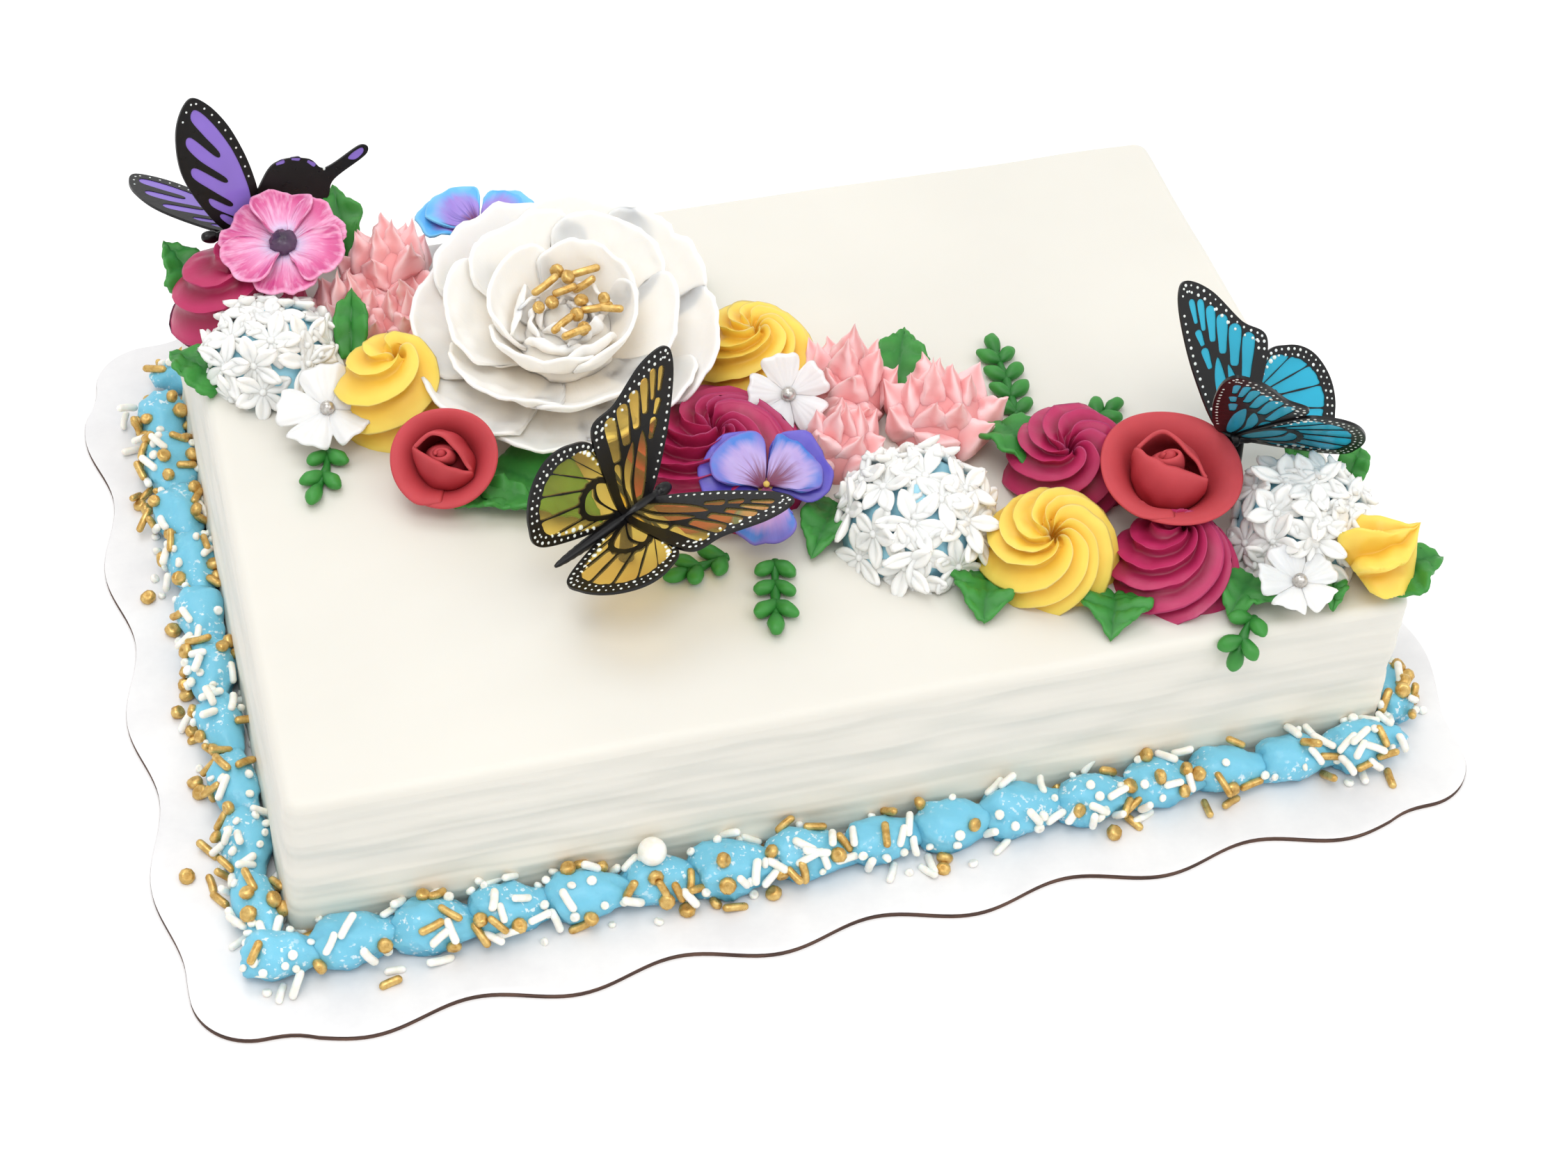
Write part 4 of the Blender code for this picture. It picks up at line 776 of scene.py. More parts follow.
def add_sprinkles(tree, strips, gold, white):
    """Rods and beads of sugar strewn in drifts over the border and at its foot, dropped onto what is there."""
    rng = np.random.default_rng(23)
    kinds = ("rod_white", "rod_gold", "bead_gold", "bead_white")
    forms = {kind: Form() for kind in (*kinds, "pearl")}
    taken = []

    def drop(kind, origin, direction):
        hit, normal, _, _ = tree.ray_cast(Vector(origin), Vector(direction).normalized())
        if hit is None:
            return
        spot = np.array(hit)
        beyond = np.abs(spot[:2] + np.array((6.0, 0.0))) - np.array((BOARD_HALF_LENGTH, BOARD_HALF_DEPTH)) + BOARD_CORNER
        if np.hypot(*np.maximum(beyond, 0.0)) > BOARD_CORNER - 4:
            return
        if taken and np.linalg.norm(np.array(taken) - spot, axis=1).min() < 2.7:
            return
        taken.append(spot)
        normal = np.array(normal)
        if normal[2] < -0.2:
            normal = -normal
        if kind.startswith("rod"):
            length = rng.uniform(6.2, 8.8)
            points, faces = capsule(length, 1.2 * rng.uniform(0.92, 1.08), rng.uniform(-0.5, 0.5))
            side = np.cross(normal, rng.normal(size=3))
            side /= np.linalg.norm(side)
            raised = rng.uniform(0.0, 0.35) if rng.random() < 0.78 else rng.uniform(0.4, 1.1)
            heading = side + normal * raised
            heading /= np.linalg.norm(heading)
            matrix = aim(spot + normal * (0.6 + raised * length * 0.36), heading, rng.uniform(0, 6))
        elif kind == "pearl":
            points, faces = ball(24, 32)
            points = points * 4.2
            matrix = aim(spot + normal * 3.2, normal)
        else:
            radius = rng.uniform(2.1, 2.7) if kind == "bead_gold" else rng.uniform(1.2, 1.7)
            points, faces = dimpled_bead(radius, rng)
            matrix = aim(spot + normal * radius * 0.5, normal + 0.6 * rng.normal(size=3), rng.uniform(0, 6))
        forms[kind].add(moved(points, matrix), faces)

    drop("pearl", PEARL_SPOT, (0, 0, -1))
    taken.append(np.array((-172.0, -126.0, BOARD_TOP)))
    for x, y in LONE_BEADS:
        drop("bead_gold", (x, y, 0), (0, 0, -1))
    for x, y in LONE_RODS:
        drop("rod_gold", (x, y, 0), (0, 0, -1))
    for length, inset, spin in strips:
        middle = Vector((0, -inset - 6.6, BOARD_TOP + 5))
        drifts = rng.uniform(-length / 2, length / 2, int(length / 16))
        leading = rng.choice(4, len(drifts), p=(0.36, 0.22, 0.24, 0.18))
        for _ in range(int(length * 1.6)):
            kind = kinds[rng.choice(4, p=(0.37, 0.17, 0.17, 0.29))]
            x = rng.uniform(-length / 2, length / 2)
            if rng.random() < 0.52:
                which = rng.integers(len(drifts))
                x = float(np.clip(drifts[which] + rng.normal() * 6, -length / 2, length / 2))
                kind = kinds[leading[which]] if rng.random() < 0.5 else kind
            share = rng.random()
            # Half lie in the groove against the wall, the rest on the beads' sides and at their foot.
            if share < 0.5:
                out = Vector((0.0, -0.12, 1.0))
                start = middle + Vector((x, rng.uniform(-1.0, 6.0), 40))
            else:
                lean = math.radians(rng.uniform(12, 80) if share < 0.84 else rng.uniform(-4, 16))
                out = Vector((rng.uniform(-0.3, 0.3), -math.cos(lean), math.sin(lean)))
                start = middle + Vector((x, 0, 0)) + out * 40
            drop(kind, spin @ start, -(spin.to_3x3() @ out))
        for _ in range(int(length * 0.12)):
            x = rng.uniform(-length / 2, length / 2)
            kind = kinds[rng.choice(4, p=(0.28, 0.26, 0.16, 0.3))]
            start = spin @ Vector((x, -inset - 14.5 - abs(rng.normal()) * 2.6, BOARD_TOP + 30))
            drop(kind, start, (0, 0, -1))
    nodes = ["border_front", "border_right", "border_back", "border_left"]
    forms["rod_white"].make("sprinkle_rods_white", (white,), "icing_white", nodes)
    forms["rod_gold"].make("sprinkle_rods_gold", (gold,), "icing_yellow", nodes)
    forms["bead_gold"].make("sprinkle_beads_gold", (gold,), "icing_yellow", nodes)
    forms["bead_white"].make("sprinkle_beads_white", (white,), "icing_white", nodes)
    forms["pearl"].make("sprinkle_pearl", (white,), "icing_white", nodes)


# Piping


ROSETTE_SIDE = (
    (0.0, 0.66), (0.04, 0.7), (0.09, 0.88), (0.17, 0.99), (0.28, 1.0), (0.42, 0.95), (0.58, 0.86), (0.74, 0.72),
    (0.87, 0.53), (0.96, 0.3), (1.0, 0.06), (0.99, -0.2), (0.97, -0.45),
)


def rosette(name, spot, radius, height, ridges, twist, paint, slot, seed, eye=(0.0, 0.0), deep=0.17, lean=0.0, calm=None, wind=1.45):
    """A star-tip swirl: sharp lips wind out of a small eye and down over a round shoulder.

    The calm direction is the one where the outer wrap lies smooth.
    """
    rng = np.random.default_rng(seed)
    rows, per_ridge = 54, 15
    side = smooth_curve(ROSETTE_SIDE, rows) * np.array((radius, height))
    slope = np.gradient(side, axis=0)
    slope /= np.linalg.norm(slope, axis=1, keepdims=True)
    rho = side[:, 0][:, None] / radius
    run = np.concatenate([[0], np.cumsum(np.linalg.norm(np.diff(side, axis=0), axis=1))])
    run = (run / run[-1])[:, None]
    # Columns follow the ridges, so that their lips stay crisp.
    starts = (np.arange(ridges) + rng.uniform(-0.16, 0.16, ridges)) / ridges
    widths = np.append(starts[1:], starts[0] + 1) - starts
    along = np.tile((1 - np.cos(math.pi * np.arange(per_ridge) / per_ridge)) / 2, ridges)
    ridge = 2 * math.pi * (np.repeat(starts, per_ridge) + np.repeat(widths, per_ridge) * along)[None, :]
    size = np.repeat(rng.uniform(0.62, 1.3, ridges), per_ridge)[None, :]
    # Each ridge sways a little on its own way out.
    phase = rng.uniform(0, 2 * math.pi, ridges)
    sway = [np.sin(2 * math.pi * 1.2 * run + np.repeat(np.roll(phase, -k), per_ridge)[None, :]) for k in (0, 1)]
    sway = (sway[0] * (1 - along) + sway[1] * along) * smooth_step(rho, 0.05, 0.3)
    angle = ridge + 0.055 * sway + math.radians(twist) * (1 - run) ** wind
    crest = (np.abs(2 * along**0.7 - 1) ** 1.5)[None, :]
    swell = size * smooth_step(rho, 0.02, 0.22) * (1 - 0.25 * smooth_step(run, 0.8, 1.0))
    if calm is not None:
        away = np.angle(np.exp(1j * (angle - calm)))
        swell = swell * (1 - 0.8 * np.exp(-((away / 0.65) ** 2)) * smooth_step(rho, 0.3, 0.55))
    lift = radius * deep * swell * (crest - 0.5)
    skewed = 0.16 * 2 * math.pi / ridges * crest * swell
    r = side[:, 0][:, None] * (1 + 0.05 * wobble(angle, rng, 3)) - slope[:, 1][:, None] * lift
    z = side[:, 1][:, None] + slope[:, 0][:, None] * lift
    points = np.stack([r * np.cos(angle + skewed), r * np.sin(angle + skewed), z], -1)
    points += 0.14 * bumps(points, 6, seed + 1)[..., None] * np.array((0.6, 0.6, 1.0))
    shift = np.clip(1 - rho, 0, None) ** 1.3
    points[..., 0] += eye[0] * shift
    points[..., 1] += eye[1] * shift
    points = moved(points, stand(spot, lean))
    points[..., 2] = np.maximum(points[..., 2], -0.5)
    points = np.concatenate([points, np.zeros_like(points[:1]) + points[-1].mean(axis=0)])
    # Painted shade: darker in the grooves between ridges and in the eye, lighter on the crests.
    tone = np.concatenate([(0.2 + 0.8 * crest) * smooth_step(rho, -0.06, 0.2), np.zeros_like(ridge)])
    form = Form()
    form.add(points, grid_faces(rows + 1, len(along), wrap=True), tone)
    return form.make(name + "_swirl", (paint,), slot, [name])


def pointed_petal(length, width, cup, crease, rows=9, columns=7):
    """The middle surface of a small pointed petal along +X, grooved down its middle, with raised edges."""
    t = end_steps(rows)[:, None]
    a = end_steps(columns, -1.0, 1.0)[None, :]
    half = width / 2 * np.clip(np.sin(math.pi * np.clip(0.08 + 0.92 * t, 0, 1) ** 1.35), 0, 1) ** 0.85
    x = length * t * (1 - 0.05 * a**2)
    y = half * a
    z = cup * t**2 - crease * (1 - np.abs(a)) ** 1.2 * np.sin(math.pi * t) + 0.5 * a**2 * np.sin(math.pi * t)
    return np.stack([x, y, z + 0 * a], -1)


def hydrangea(name, spot, radius, height, seed, white, blue, florets=34):
    """A blue dome covered with star flowers that overlap and leave a few gaps."""
    rng = np.random.default_rng(seed)
    form = Form()
    points, faces = ball(16, 28)
    core = points * np.array((radius * 0.86, radius * 0.86, height * 0.88))
    core = core * (1 + 0.03 * bumps(core, 8, seed)[..., None])
    core[..., 2] = np.maximum(core[..., 2], -0.5)
    where = stand(spot)
    form.add(moved(core, where), faces, 0.4, slot=1)
    golden = math.radians(137.5)
    for index in range(florets):
        rise = 1.0 - 1.03 * index / florets
        polar = math.acos(max(-0.04, min(1.0, rise))) + rng.uniform(-0.08, 0.08)
        angle = index * golden + rng.uniform(-0.25, 0.25)
        across, up = abs(math.sin(polar)) ** 0.85, math.copysign(abs(math.cos(polar)) ** 0.85, math.cos(polar))
        reach = radius * 0.87 * across
        centre = np.array((reach * math.cos(angle), reach * math.sin(angle), max(1.0, height * 0.9 * up)))
        outward = np.array((math.cos(angle) * across, math.sin(angle) * across, max(0.08, up)))
        outward += 0.14 * rng.normal(size=3)
        turn = aim(centre, outward, rng.uniform(0, 6))
        petals = 5 if rng.random() < 0.6 else 6
        size = rng.uniform(0.92, 1.1)
        for k in range(petals):
            spin = 2 * math.pi * k / petals + rng.uniform(-0.12, 0.12)
            length = rng.uniform(9.2, 11.2) * size
            middle = pointed_petal(length, rng.uniform(4.6, 5.8), rng.uniform(-1.2, 1.8), rng.uniform(1.0, 1.6))
            lift = Matrix.Rotation(spin, 4, "Z") @ Matrix.Rotation(rng.uniform(-0.2, 0.05), 4, "Y")
            # Painted shade: each petal greyer at its root in the floret's heart, whiter towards its tip.
            tone = 0.35 + 0.65 * np.linspace(0, 1, middle.shape[0])[:, None] * np.ones(middle.shape[:2])
            form.sheet(middle, 1.7, tone, matrix=np.asarray(where) @ turn @ np.array(lift))
        points, faces = ball(5, 7)
        form.add(moved(points * 1.4, np.asarray(where) @ turn), faces, 0.5)
    return form.make(name + "_florets", (white, blue), "icing_white", [name])


def spike(form, base, tip, width, rng, matrix):
    """A pulled star-tip point: broad and creased, drawn out to a short sharp end that curls up."""
    rows, columns = 20, 32
    direction = tip - base
    length = np.linalg.norm(direction)
    t = np.linspace(0, 1, rows)[:, None]
    turn = np.linspace(0, 2 * math.pi, columns, endpoint=False)[None, :]
    side = ((0.0, 0.7), (0.18, 0.92), (0.4, 1.0), (0.6, 0.9), (0.78, 0.6), (0.91, 0.24), (1.0, 0.01))
    body_width = smooth_curve(side, rows)[:, 1][:, None]
    shift = rng.uniform(0, 3)
    flute = 1 - np.abs(np.sin(1.5 * turn + shift + 0.5 * t)) ** 0.9
    r = width / 2 * body_width * (0.66 + 0.4 * flute)
    x = r * np.cos(turn) + rng.uniform(-2.2, 2.2) * t**2
    y = r * np.sin(turn) * 0.72 + rng.uniform(0.2, 3.0) * t**2
    points = np.stack([x, y, length * t + 0 * turn], -1)
    points += 0.22 * bumps(points, 5, rng.integers(1e6))[..., None]
    local = moved(points, aim(base, direction, rng.uniform(-0.3, 0.3)))
    local[..., 2] = np.maximum(local[..., 2], -0.5)
    # Painted shade: darker in the flutes' grooves and at the foot of each point.
    tone = (0.25 + 0.75 * flute) * (0.6 + 0.4 * smooth_step(t, 0.0, 0.45))
    closing = np.repeat(np.mean(local[:1], axis=1, keepdims=True), columns, axis=1)
    local = np.concatenate([closing, local])
    tone = np.concatenate([np.zeros((1, columns)), tone])
    form.add(moved(local, matrix), grid_faces(rows + 1, columns, wrap=True), tone)


def mum(name, spot, radius, height, seed, paint):
    """A cluster of broad creased points in three rings, each pulled up to a sharp tip."""
    rng = np.random.default_rng(seed)
    form = Form()
    where = stand(spot)
    # Points, foot and tip in radii, foot and tip height in heights, and width in radii.
    rings = ((7, 0.5, 1.08, 0.06, 0.5, 0.86), (5, 0.3, 0.66, 0.2, 0.82, 0.8), (2, 0.14, 0.24, 0.3, 1.06, 0.7))
    for count, foot, tip, low, top, width in rings:
        shift = rng.uniform(0, 6)
        for k in range(count):
            facing = shift + 2 * math.pi * k / count + rng.uniform(-0.2, 0.2)
            heading = np.array((math.cos(facing), math.sin(facing), 0.0)) * radius
            base = heading * foot + np.array((0, 0, low * height))
            end = heading * tip * rng.uniform(0.92, 1.08) + np.array((0, 0, top * height * rng.uniform(0.84, 1.06)))
            spike(form, base, end, width * radius * rng.uniform(0.88, 1.12), rng, where)
    points, faces = ball(10, 20)
    core = points * np.array((radius * 0.78, radius * 0.78, height * 0.6))
    core[..., 2] = np.maximum(core[..., 2], -0.5)
    # The hidden core takes the darkest tone, as painted shade.
    form.add(moved(core, where), faces, 0.0)
    return form.make(name + "_points", (paint,), "icing_pink", [name])


def star_swirl(name, base, tip, radius, fins, paint):
    """A pulled star laid on its side: a few deep fins that run together at its tip."""
    rows, columns = 40, 22 * fins
    base, tip = np.array(base, float), np.array(tip, float)
    length = np.linalg.norm(tip - base)
    shape = ((0.0, 0.6), (0.1, 0.92), (0.28, 1.0), (0.5, 0.84), (0.72, 0.5), (0.9, 0.16), (1.0, 0.0))
    side = smooth_curve(shape, rows)
    angle = np.linspace(0, 2 * math.pi, columns, endpoint=False)[None, :]
    fin = (1 - np.abs(np.sin(fins / 2 * (angle - 1.2 * side[:, 0][:, None])))) ** 0.8
    r = radius * np.clip(side[:, 1], 0, None)[:, None] * (0.5 + 0.54 * fin)
    points = np.stack([r * np.cos(angle), r * np.sin(angle), length * side[:, 0][:, None] + 0 * angle], -1)
    points += 0.18 * bumps(points, 6, 4)[..., None]
    points = moved(points, aim(base, tip - base))
    points[..., 2] = np.maximum(points[..., 2], -0.5)
    points = np.concatenate([np.zeros((1, columns, 3)) + points[0].mean(axis=0), points])
    # Painted shade: darker between the fins, lighter on them.
    tone = np.concatenate([np.zeros((1, columns)), 0.2 + 0.8 * fin])
    form = Form()
    form.add(points, grid_faces(rows + 1, columns, wrap=True), tone)
    return form.make(name + "_swirl", (paint,), "icing_yellow", [name])


# Sugar flowers


def petal(form, profile, facing, half_width, rng, matrix, thickness=1.0, **shape):
    """One petal: a side profile of radii and heights swept through an angle, with a rounded wavy rim."""
    side = shape.get("side", 0.3)
    power = shape.get("power", 2.4)
    rows, columns = shape.get("rows", 20), shape.get("columns", 28)
    a = end_steps(columns, -1.0, 1.0)[None, :]
    v = end_steps(rows)[:, None]
    reach = side + (1 - side) * np.clip(1 - np.abs(a) ** power, 0, 1) ** (1 / power)
    reach = reach * (1 - shape.get("notch", 0.0) * np.exp(-((a / 0.22) ** 2)))
    reach = reach * (1 + shape.get("fray", 0.015) * wobble(a * 3, rng, 6, 2.0))
    curve = smooth_curve(profile, 80)
    tangent = np.gradient(curve, axis=0)
    tangent /= np.linalg.norm(tangent, axis=1, keepdims=True)
    share = np.clip(v * reach, 0, 1) * 79
    index = np.arange(80)
    r, z = (np.interp(share, index, curve[:, k]) for k in (0, 1))
    out, up = -np.interp(share, index, tangent[:, 1]), np.interp(share, index, tangent[:, 0])
    wave = shape.get("ruffle", 0.8) * wobble(a * 3, rng, shape.get("waves", 4), 1.1) * v**1.6
    wave = wave + shape.get("curl", 0.0) * np.abs(a) ** 3 * v + shape.get("lap", 0.0) * a * (0.3 + 0.7 * v)
    r = r + out * wave
    z = z + up * wave
    angle = facing + a * half_width
    middle = np.stack([r * np.cos(angle), r * np.sin(angle), z], -1)
    middle += shape.get("dents", 0.15) * bumps(middle, 9, rng.integers(1e6))[..., None]
    place = np.stack([a + 0 * v, v * reach, np.full(middle.shape[:2], rng.uniform(0, 40))], -1)
    # The tone runs from root to rim: on printed petals it places the print, on paste petals it paints shade at the
    # root.
    form.sheet(middle, thickness, shape.get("tone", v * np.ones_like(reach)), place, shape.get("slot", 0), matrix=matrix)


def peony(name, spot, lean, paste, gold):
    """Three rings of broad scalloped petals round a deep cup, with crumpled petals and gold sugar in its heart."""
    rng = np.random.default_rng(5)
    where = stand(spot, lean)
    form = Form()
    # Side profile, petals, half width, first petal's turn, ruffle, and how much higher the back stands.
    layers = (
        (((8, 2), (20, 4), (32, 7.5), (41.5, 13), (47.5, 19.5)), 8, 0.56, 0.48, 0.7, 0.2),
        (((7, 5), (15, 7), (25, 12.5), (32.5, 19.5), (36.5, 26)), 6, 0.68, 0.75, 0.7, 0.14),
        (((5, 8), (11, 10), (17.5, 15), (21.5, 22), (23.5, 28)), 4, 0.98, 0.9, 0.5, 0.08),
    )
    for profile, count, half_width, shift, ruffle, rear in layers:
        for k in range(count):
            facing = shift + 2 * math.pi * k / count + rng.uniform(-0.1, 0.1)
            raised = 1.03 - rear * math.cos(facing - VIEW_SIDE)
            out, up = rng.uniform(0.96, 1.02), rng.uniform(0.94, 1.05) * raised
            shaped = [(r * out, z * up) for r, z in profile]
            shape = {"side": 0.52, "power": 3.0, "notch": rng.uniform(0.0, 0.06), "waves": 5, "curl": 0.1, "dents": 0.2}
            shape.update(ruffle=ruffle, lap=1.3, fray=0.028, columns=32, rows=24)
            petal(form, shaped, facing, half_width * rng.uniform(0.98, 1.08), rng, where, 1.3, **shape)
    for k in range(11):
        facing = 2.4 * k + rng.uniform(-0.4, 0.4)
        reach = 4 + 11.5 * (k + 0.5) / 11
        top = rng.uniform(21.5, 25.5) - 0.12 * reach
        shaped = ((max(0.5, reach - 5), 12), (reach - 1, 16), (reach + 1.2, 20), (reach - 1.2 * (k % 2), top))
        width = min(1.1, 5.5 / reach + 0.25)
        petal(form, shaped, facing, width, rng, where, 1.1, ruffle=1.3, rows=16, columns=22, side=0.5, waves=4, curl=-1.5)
    points, faces = ball(12, 24)
    heart = points * np.array((16, 16, 9)) * (1 + 0.05 * bumps(points * 16, 7, 3)[..., None])
    form.add(moved(heart + np.array((0, 0, 10)), where), faces, 0.5)
    # The foot takes the darkest tone, as painted shade under the flower.
    foot = points * np.array((14, 14, 8)) + np.array((0, 0, 3 - spot[2]))
    form.add(moved(foot, stand(spot)), faces, 0.0)
    form.make("peony_petals", (paste,), "petal_white", [name])
    facing = where @ np.array(Matrix.Rotation(VIEW_SIDE + math.pi / 2, 4, "Z"))
    crumbs = Form()
    for k in range(16):
        angle = 2.4 * k + rng.uniform(-0.3, 0.3)
        reach = 12.5 * math.sqrt((k + 0.5) / 16)
        spot_here = np.array((reach * math.cos(angle) + 3, reach * math.sin(angle) * 1.1 + 4, 23 + rng.uniform(0, 2.5)))
        if k % 2:
            points, faces = capsule(rng.uniform(8, 10.5), 1.2, rng.uniform(-0.4, 0.4), 12)
            turn = aim(spot_here, (1 + 0.6 * rng.normal(), 0.6 + 0.6 * rng.normal(), rng.uniform(-0.1, 0.35)))
        else:
            points, faces = dimpled_bead(rng.uniform(2.0, 2.7), rng)
            turn = aim(spot_here, (0.6 * rng.normal(), 0.6 * rng.normal() - 0.4, 1))
        crumbs.add(moved(points, facing @ turn), faces)
    crumbs.make("peony_sprinkles", (gold,), "icing_yellow", [name])


def rose(name, spot, radius, height, lean, paste, seed, seam=-2.6, bud=1.0):
    """A sugar rose: one broad flared petal lapped at a seam, round a bud closed by a front and a back petal."""
    rng = np.random.default_rng(seed)
    where = stand(spot, lean)
    form = Form()
    k = radius / 20.0
    h = height / 17.0
    share = np.linspace(0, 1, 116)[None, :]
    v = end_steps(22)[:, None]
    angle = seam + share * 2 * math.pi * 1.12
    profile = smooth_curve(((4.0, 0.0), (9.0, 3.0), (12.4, 7.8), (15.2, 11.4), (18.2, 13.6), (21.2, 14.6)), 80)
    index = v * 79
    r = np.interp(index, np.arange(80), profile[:, 0]) * k
    z = np.interp(index, np.arange(80), profile[:, 1]) * h
    taper = smooth_step(share, 0.0, 0.06) * smooth_step(1 - share, 0.0, 0.08)
    outward = (0.84 + 0.16 * taper) * (1 + 0.035 * wobble(angle, rng, 4)) * (1 + 0.07 * (share - 0.5))
    r = r * (1 + (outward - 1) * v)
    z = z + 1.1 * wobble(angle, rng, 3) * v**2 - 1.3 * (1 - taper) * v + 1.2 * (share - 0.5)
    middle = np.stack([r * np.cos(angle), r * np.sin(angle), z + 0 * r], -1)
    # Painted shade: the tone keeps the cup and the bud darker low down and lighter at their rims.
    form.sheet(middle, 1.3, (0.1 + 0.9 * v**1.5) * np.ones_like(share), matrix=where)
    # The bud, on axes turned so that -Y is the viewing side: from and to angle, rim left, middle and right.
    facing = np.asarray(where) @ np.array(Matrix.Rotation(VIEW_SIDE + math.pi / 2, 4, "Z"))
    halves = (
        ((160, 335), (-11.0, 3.4, 18.0), (-1.4, -2.0, 17.4), (10.4, -4.2, 14.4)),
        ((325, 530), (10.4, -3.2, 15.0), (-2.4, 7.2, 21.0), (-10.4, 3.0, 18.4)),
    )
    for (first, last), left, mid, right in halves:
        turn = np.radians(np.linspace(first, last, 46))[None, :]
        base = np.stack([8.6 * np.cos(turn), 8.6 * np.sin(turn), np.full_like(turn, 3.0)], -1)
        belly = np.stack([12.8 * np.cos(turn), 12.8 * np.sin(turn), np.full_like(turn, 10.5)], -1)
        rim = smooth_curve((left, mid, right), 46)[None]
        v = end_steps(18)[:, None, None]
        middle = ((1 - v) ** 2 * base + 2 * v * (1 - v) * belly + v**2 * rim) * np.array((k * bud, k * bud, h))
        middle = middle + 0.12 * bumps(middle, 7, rng.integers(1e6))[..., None]
        form.sheet(middle, 1.25, 0.15 + 0.85 * v[..., 0] ** 4 * np.ones_like(turn), matrix=facing)
    # The closed heart: a knob with a tight petal wound round it.
    steps = np.linspace(0, 1, 64)[None, :]
    v = end_steps(14)[:, None]
    around = 0.6 + steps * 2 * math.pi * 1.5
    wound = (6.2 - 3.6 * steps) * (0.8 + 0.3 * np.sin(math.pi * v) - 0.2 * v**3)
    rise = 8 + (8.4 + 3.2 * steps + 0.9 * np.sin(around * 1.0 + 2.0)) * v
    spiral = np.stack([wound * np.cos(around) * k * bud - 0.8 * k, wound * np.sin(around) * 0.62 * k * bud + 1.4 * k, rise * h], -1)
    form.sheet(spiral, 1.2, 0.1 + 0.9 * v**3 * np.ones_like(steps), matrix=facing)
    points, faces = ball(12, 18)
    knob = points * np.array((2.9 * k, 2.5 * k, 6.0 * h)) + np.array((-0.8 * k, 1.6 * k, 13.2 * h))
    form.add(moved(knob, facing), faces, 0.6)
    # The base and the foot take the darkest tone, as painted shade under the bud and the flower.
    form.add(moved(points * np.array((9.2 * k * bud, 9.2 * k * bud, 6 * h)) + np.array((0, 0, 4.6 * h)), where), faces, 0.0)
    foot = points * np.array((6 * k, 6 * k, spot[2] / 2 + 3)) + np.array((0, 0, -spot[2] / 2))
    form.add(moved(foot, stand(spot)), faces, 0.0)
    return form.make(name + "_petals", (paste,), "petal_red", [name])


def anemone(name, spot, radius, lean, print_paint, button):
    """Six broad overlapping petals round a dark button."""
    rng = np.random.default_rng(31)
    where = stand(spot, lean)
    form = Form()
    for k in range(6):
        facing = 0.4 + 2 * math.pi * k / 6
        high = 5.2 + 1.9 * (k % 2)
        profile = ((1.0, 4.4), (7, high - 0.6), (14, high + 0.2), (radius, high + 0.4))
        shape = {"side": 0.45, "power": 3.0, "ruffle": 0.9, "waves": 6, "lap": 0.9, "notch": 0.05, "fray": 0.03, "curl": 0.9}
        petal(form, profile, facing, 0.72, rng, where, 0.9, **shape)
    points, faces = ball(14, 22)
    centre = points * np.array((4.3, 4.3, 2.6))
    centre *= 1 + 0.06 * bumps(centre, 1.6, 2)[..., None]
    form.add(moved(centre + np.array((0, 0, 6.6)), where), faces, np.hypot(centre[..., 0], centre[..., 1]) / 4.3, slot=1)
    stem = points * np.array((4, 4, spot[2] / 2 + 3)) + np.array((0, 0, -spot[2] / 2))
    form.add(moved(stem, stand(spot)), faces, 0.5, slot=1)
    return form.make(name + "_petals", (print_paint, button), "petal_pink", [name])


def pansy(name, spot, radius, lean, upper, side_paint, lower, eye, seed, facing=VIEW_SIDE):
    """Two violet petals behind, two pale ones in front of them and one below."""
    rng = np.random.default_rng(seed)
    where = stand(spot, lean)
    form = Form()
    # Petals as turn from the face's own upright, half width, reach, height and paint.
    petals = (
        (1.02, 0.92, 1.08, 4.6, 0),
        (-0.95, 0.95, 1.04, 5.4, 0),
        (0.84, 0.8, 0.95, 7.0, 1),
        (-0.9, 0.84, 0.86, 7.4, 1),
        (math.pi, 0.74, 0.98, 8.0, 2),
    )
    for turn, half, reach, high, slot in petals:
        profile = ((0.5, high - 1.6), (radius * 0.4, high - 0.3), (radius * 0.75, high + 0.7), (radius * reach, high + 0.2))
        shape = {"side": 0.34, "power": 2.3, "ruffle": 0.9, "waves": 5, "slot": slot, "notch": 0.03, "dents": 0.25}
        petal(form, profile, facing + math.pi + turn, half, rng, where, 1.1, **shape)
    points, faces = ball(10, 14)
    form.add(moved(points * np.array((1.0, 1.0, 0.8)) + np.array((0, 0, 7.6)), where), faces, 0.5, slot=3)
    stem = points * np.array((4, 4, spot[2] / 2 + 4)) + np.array((0, 0, -spot[2] / 2 + 2))
    form.add(moved(stem, stand(spot)), faces, 0.5, slot=3)
    return form.make(name + "_petals", (upper, side_paint, lower, eye), "petal_violet", [name])


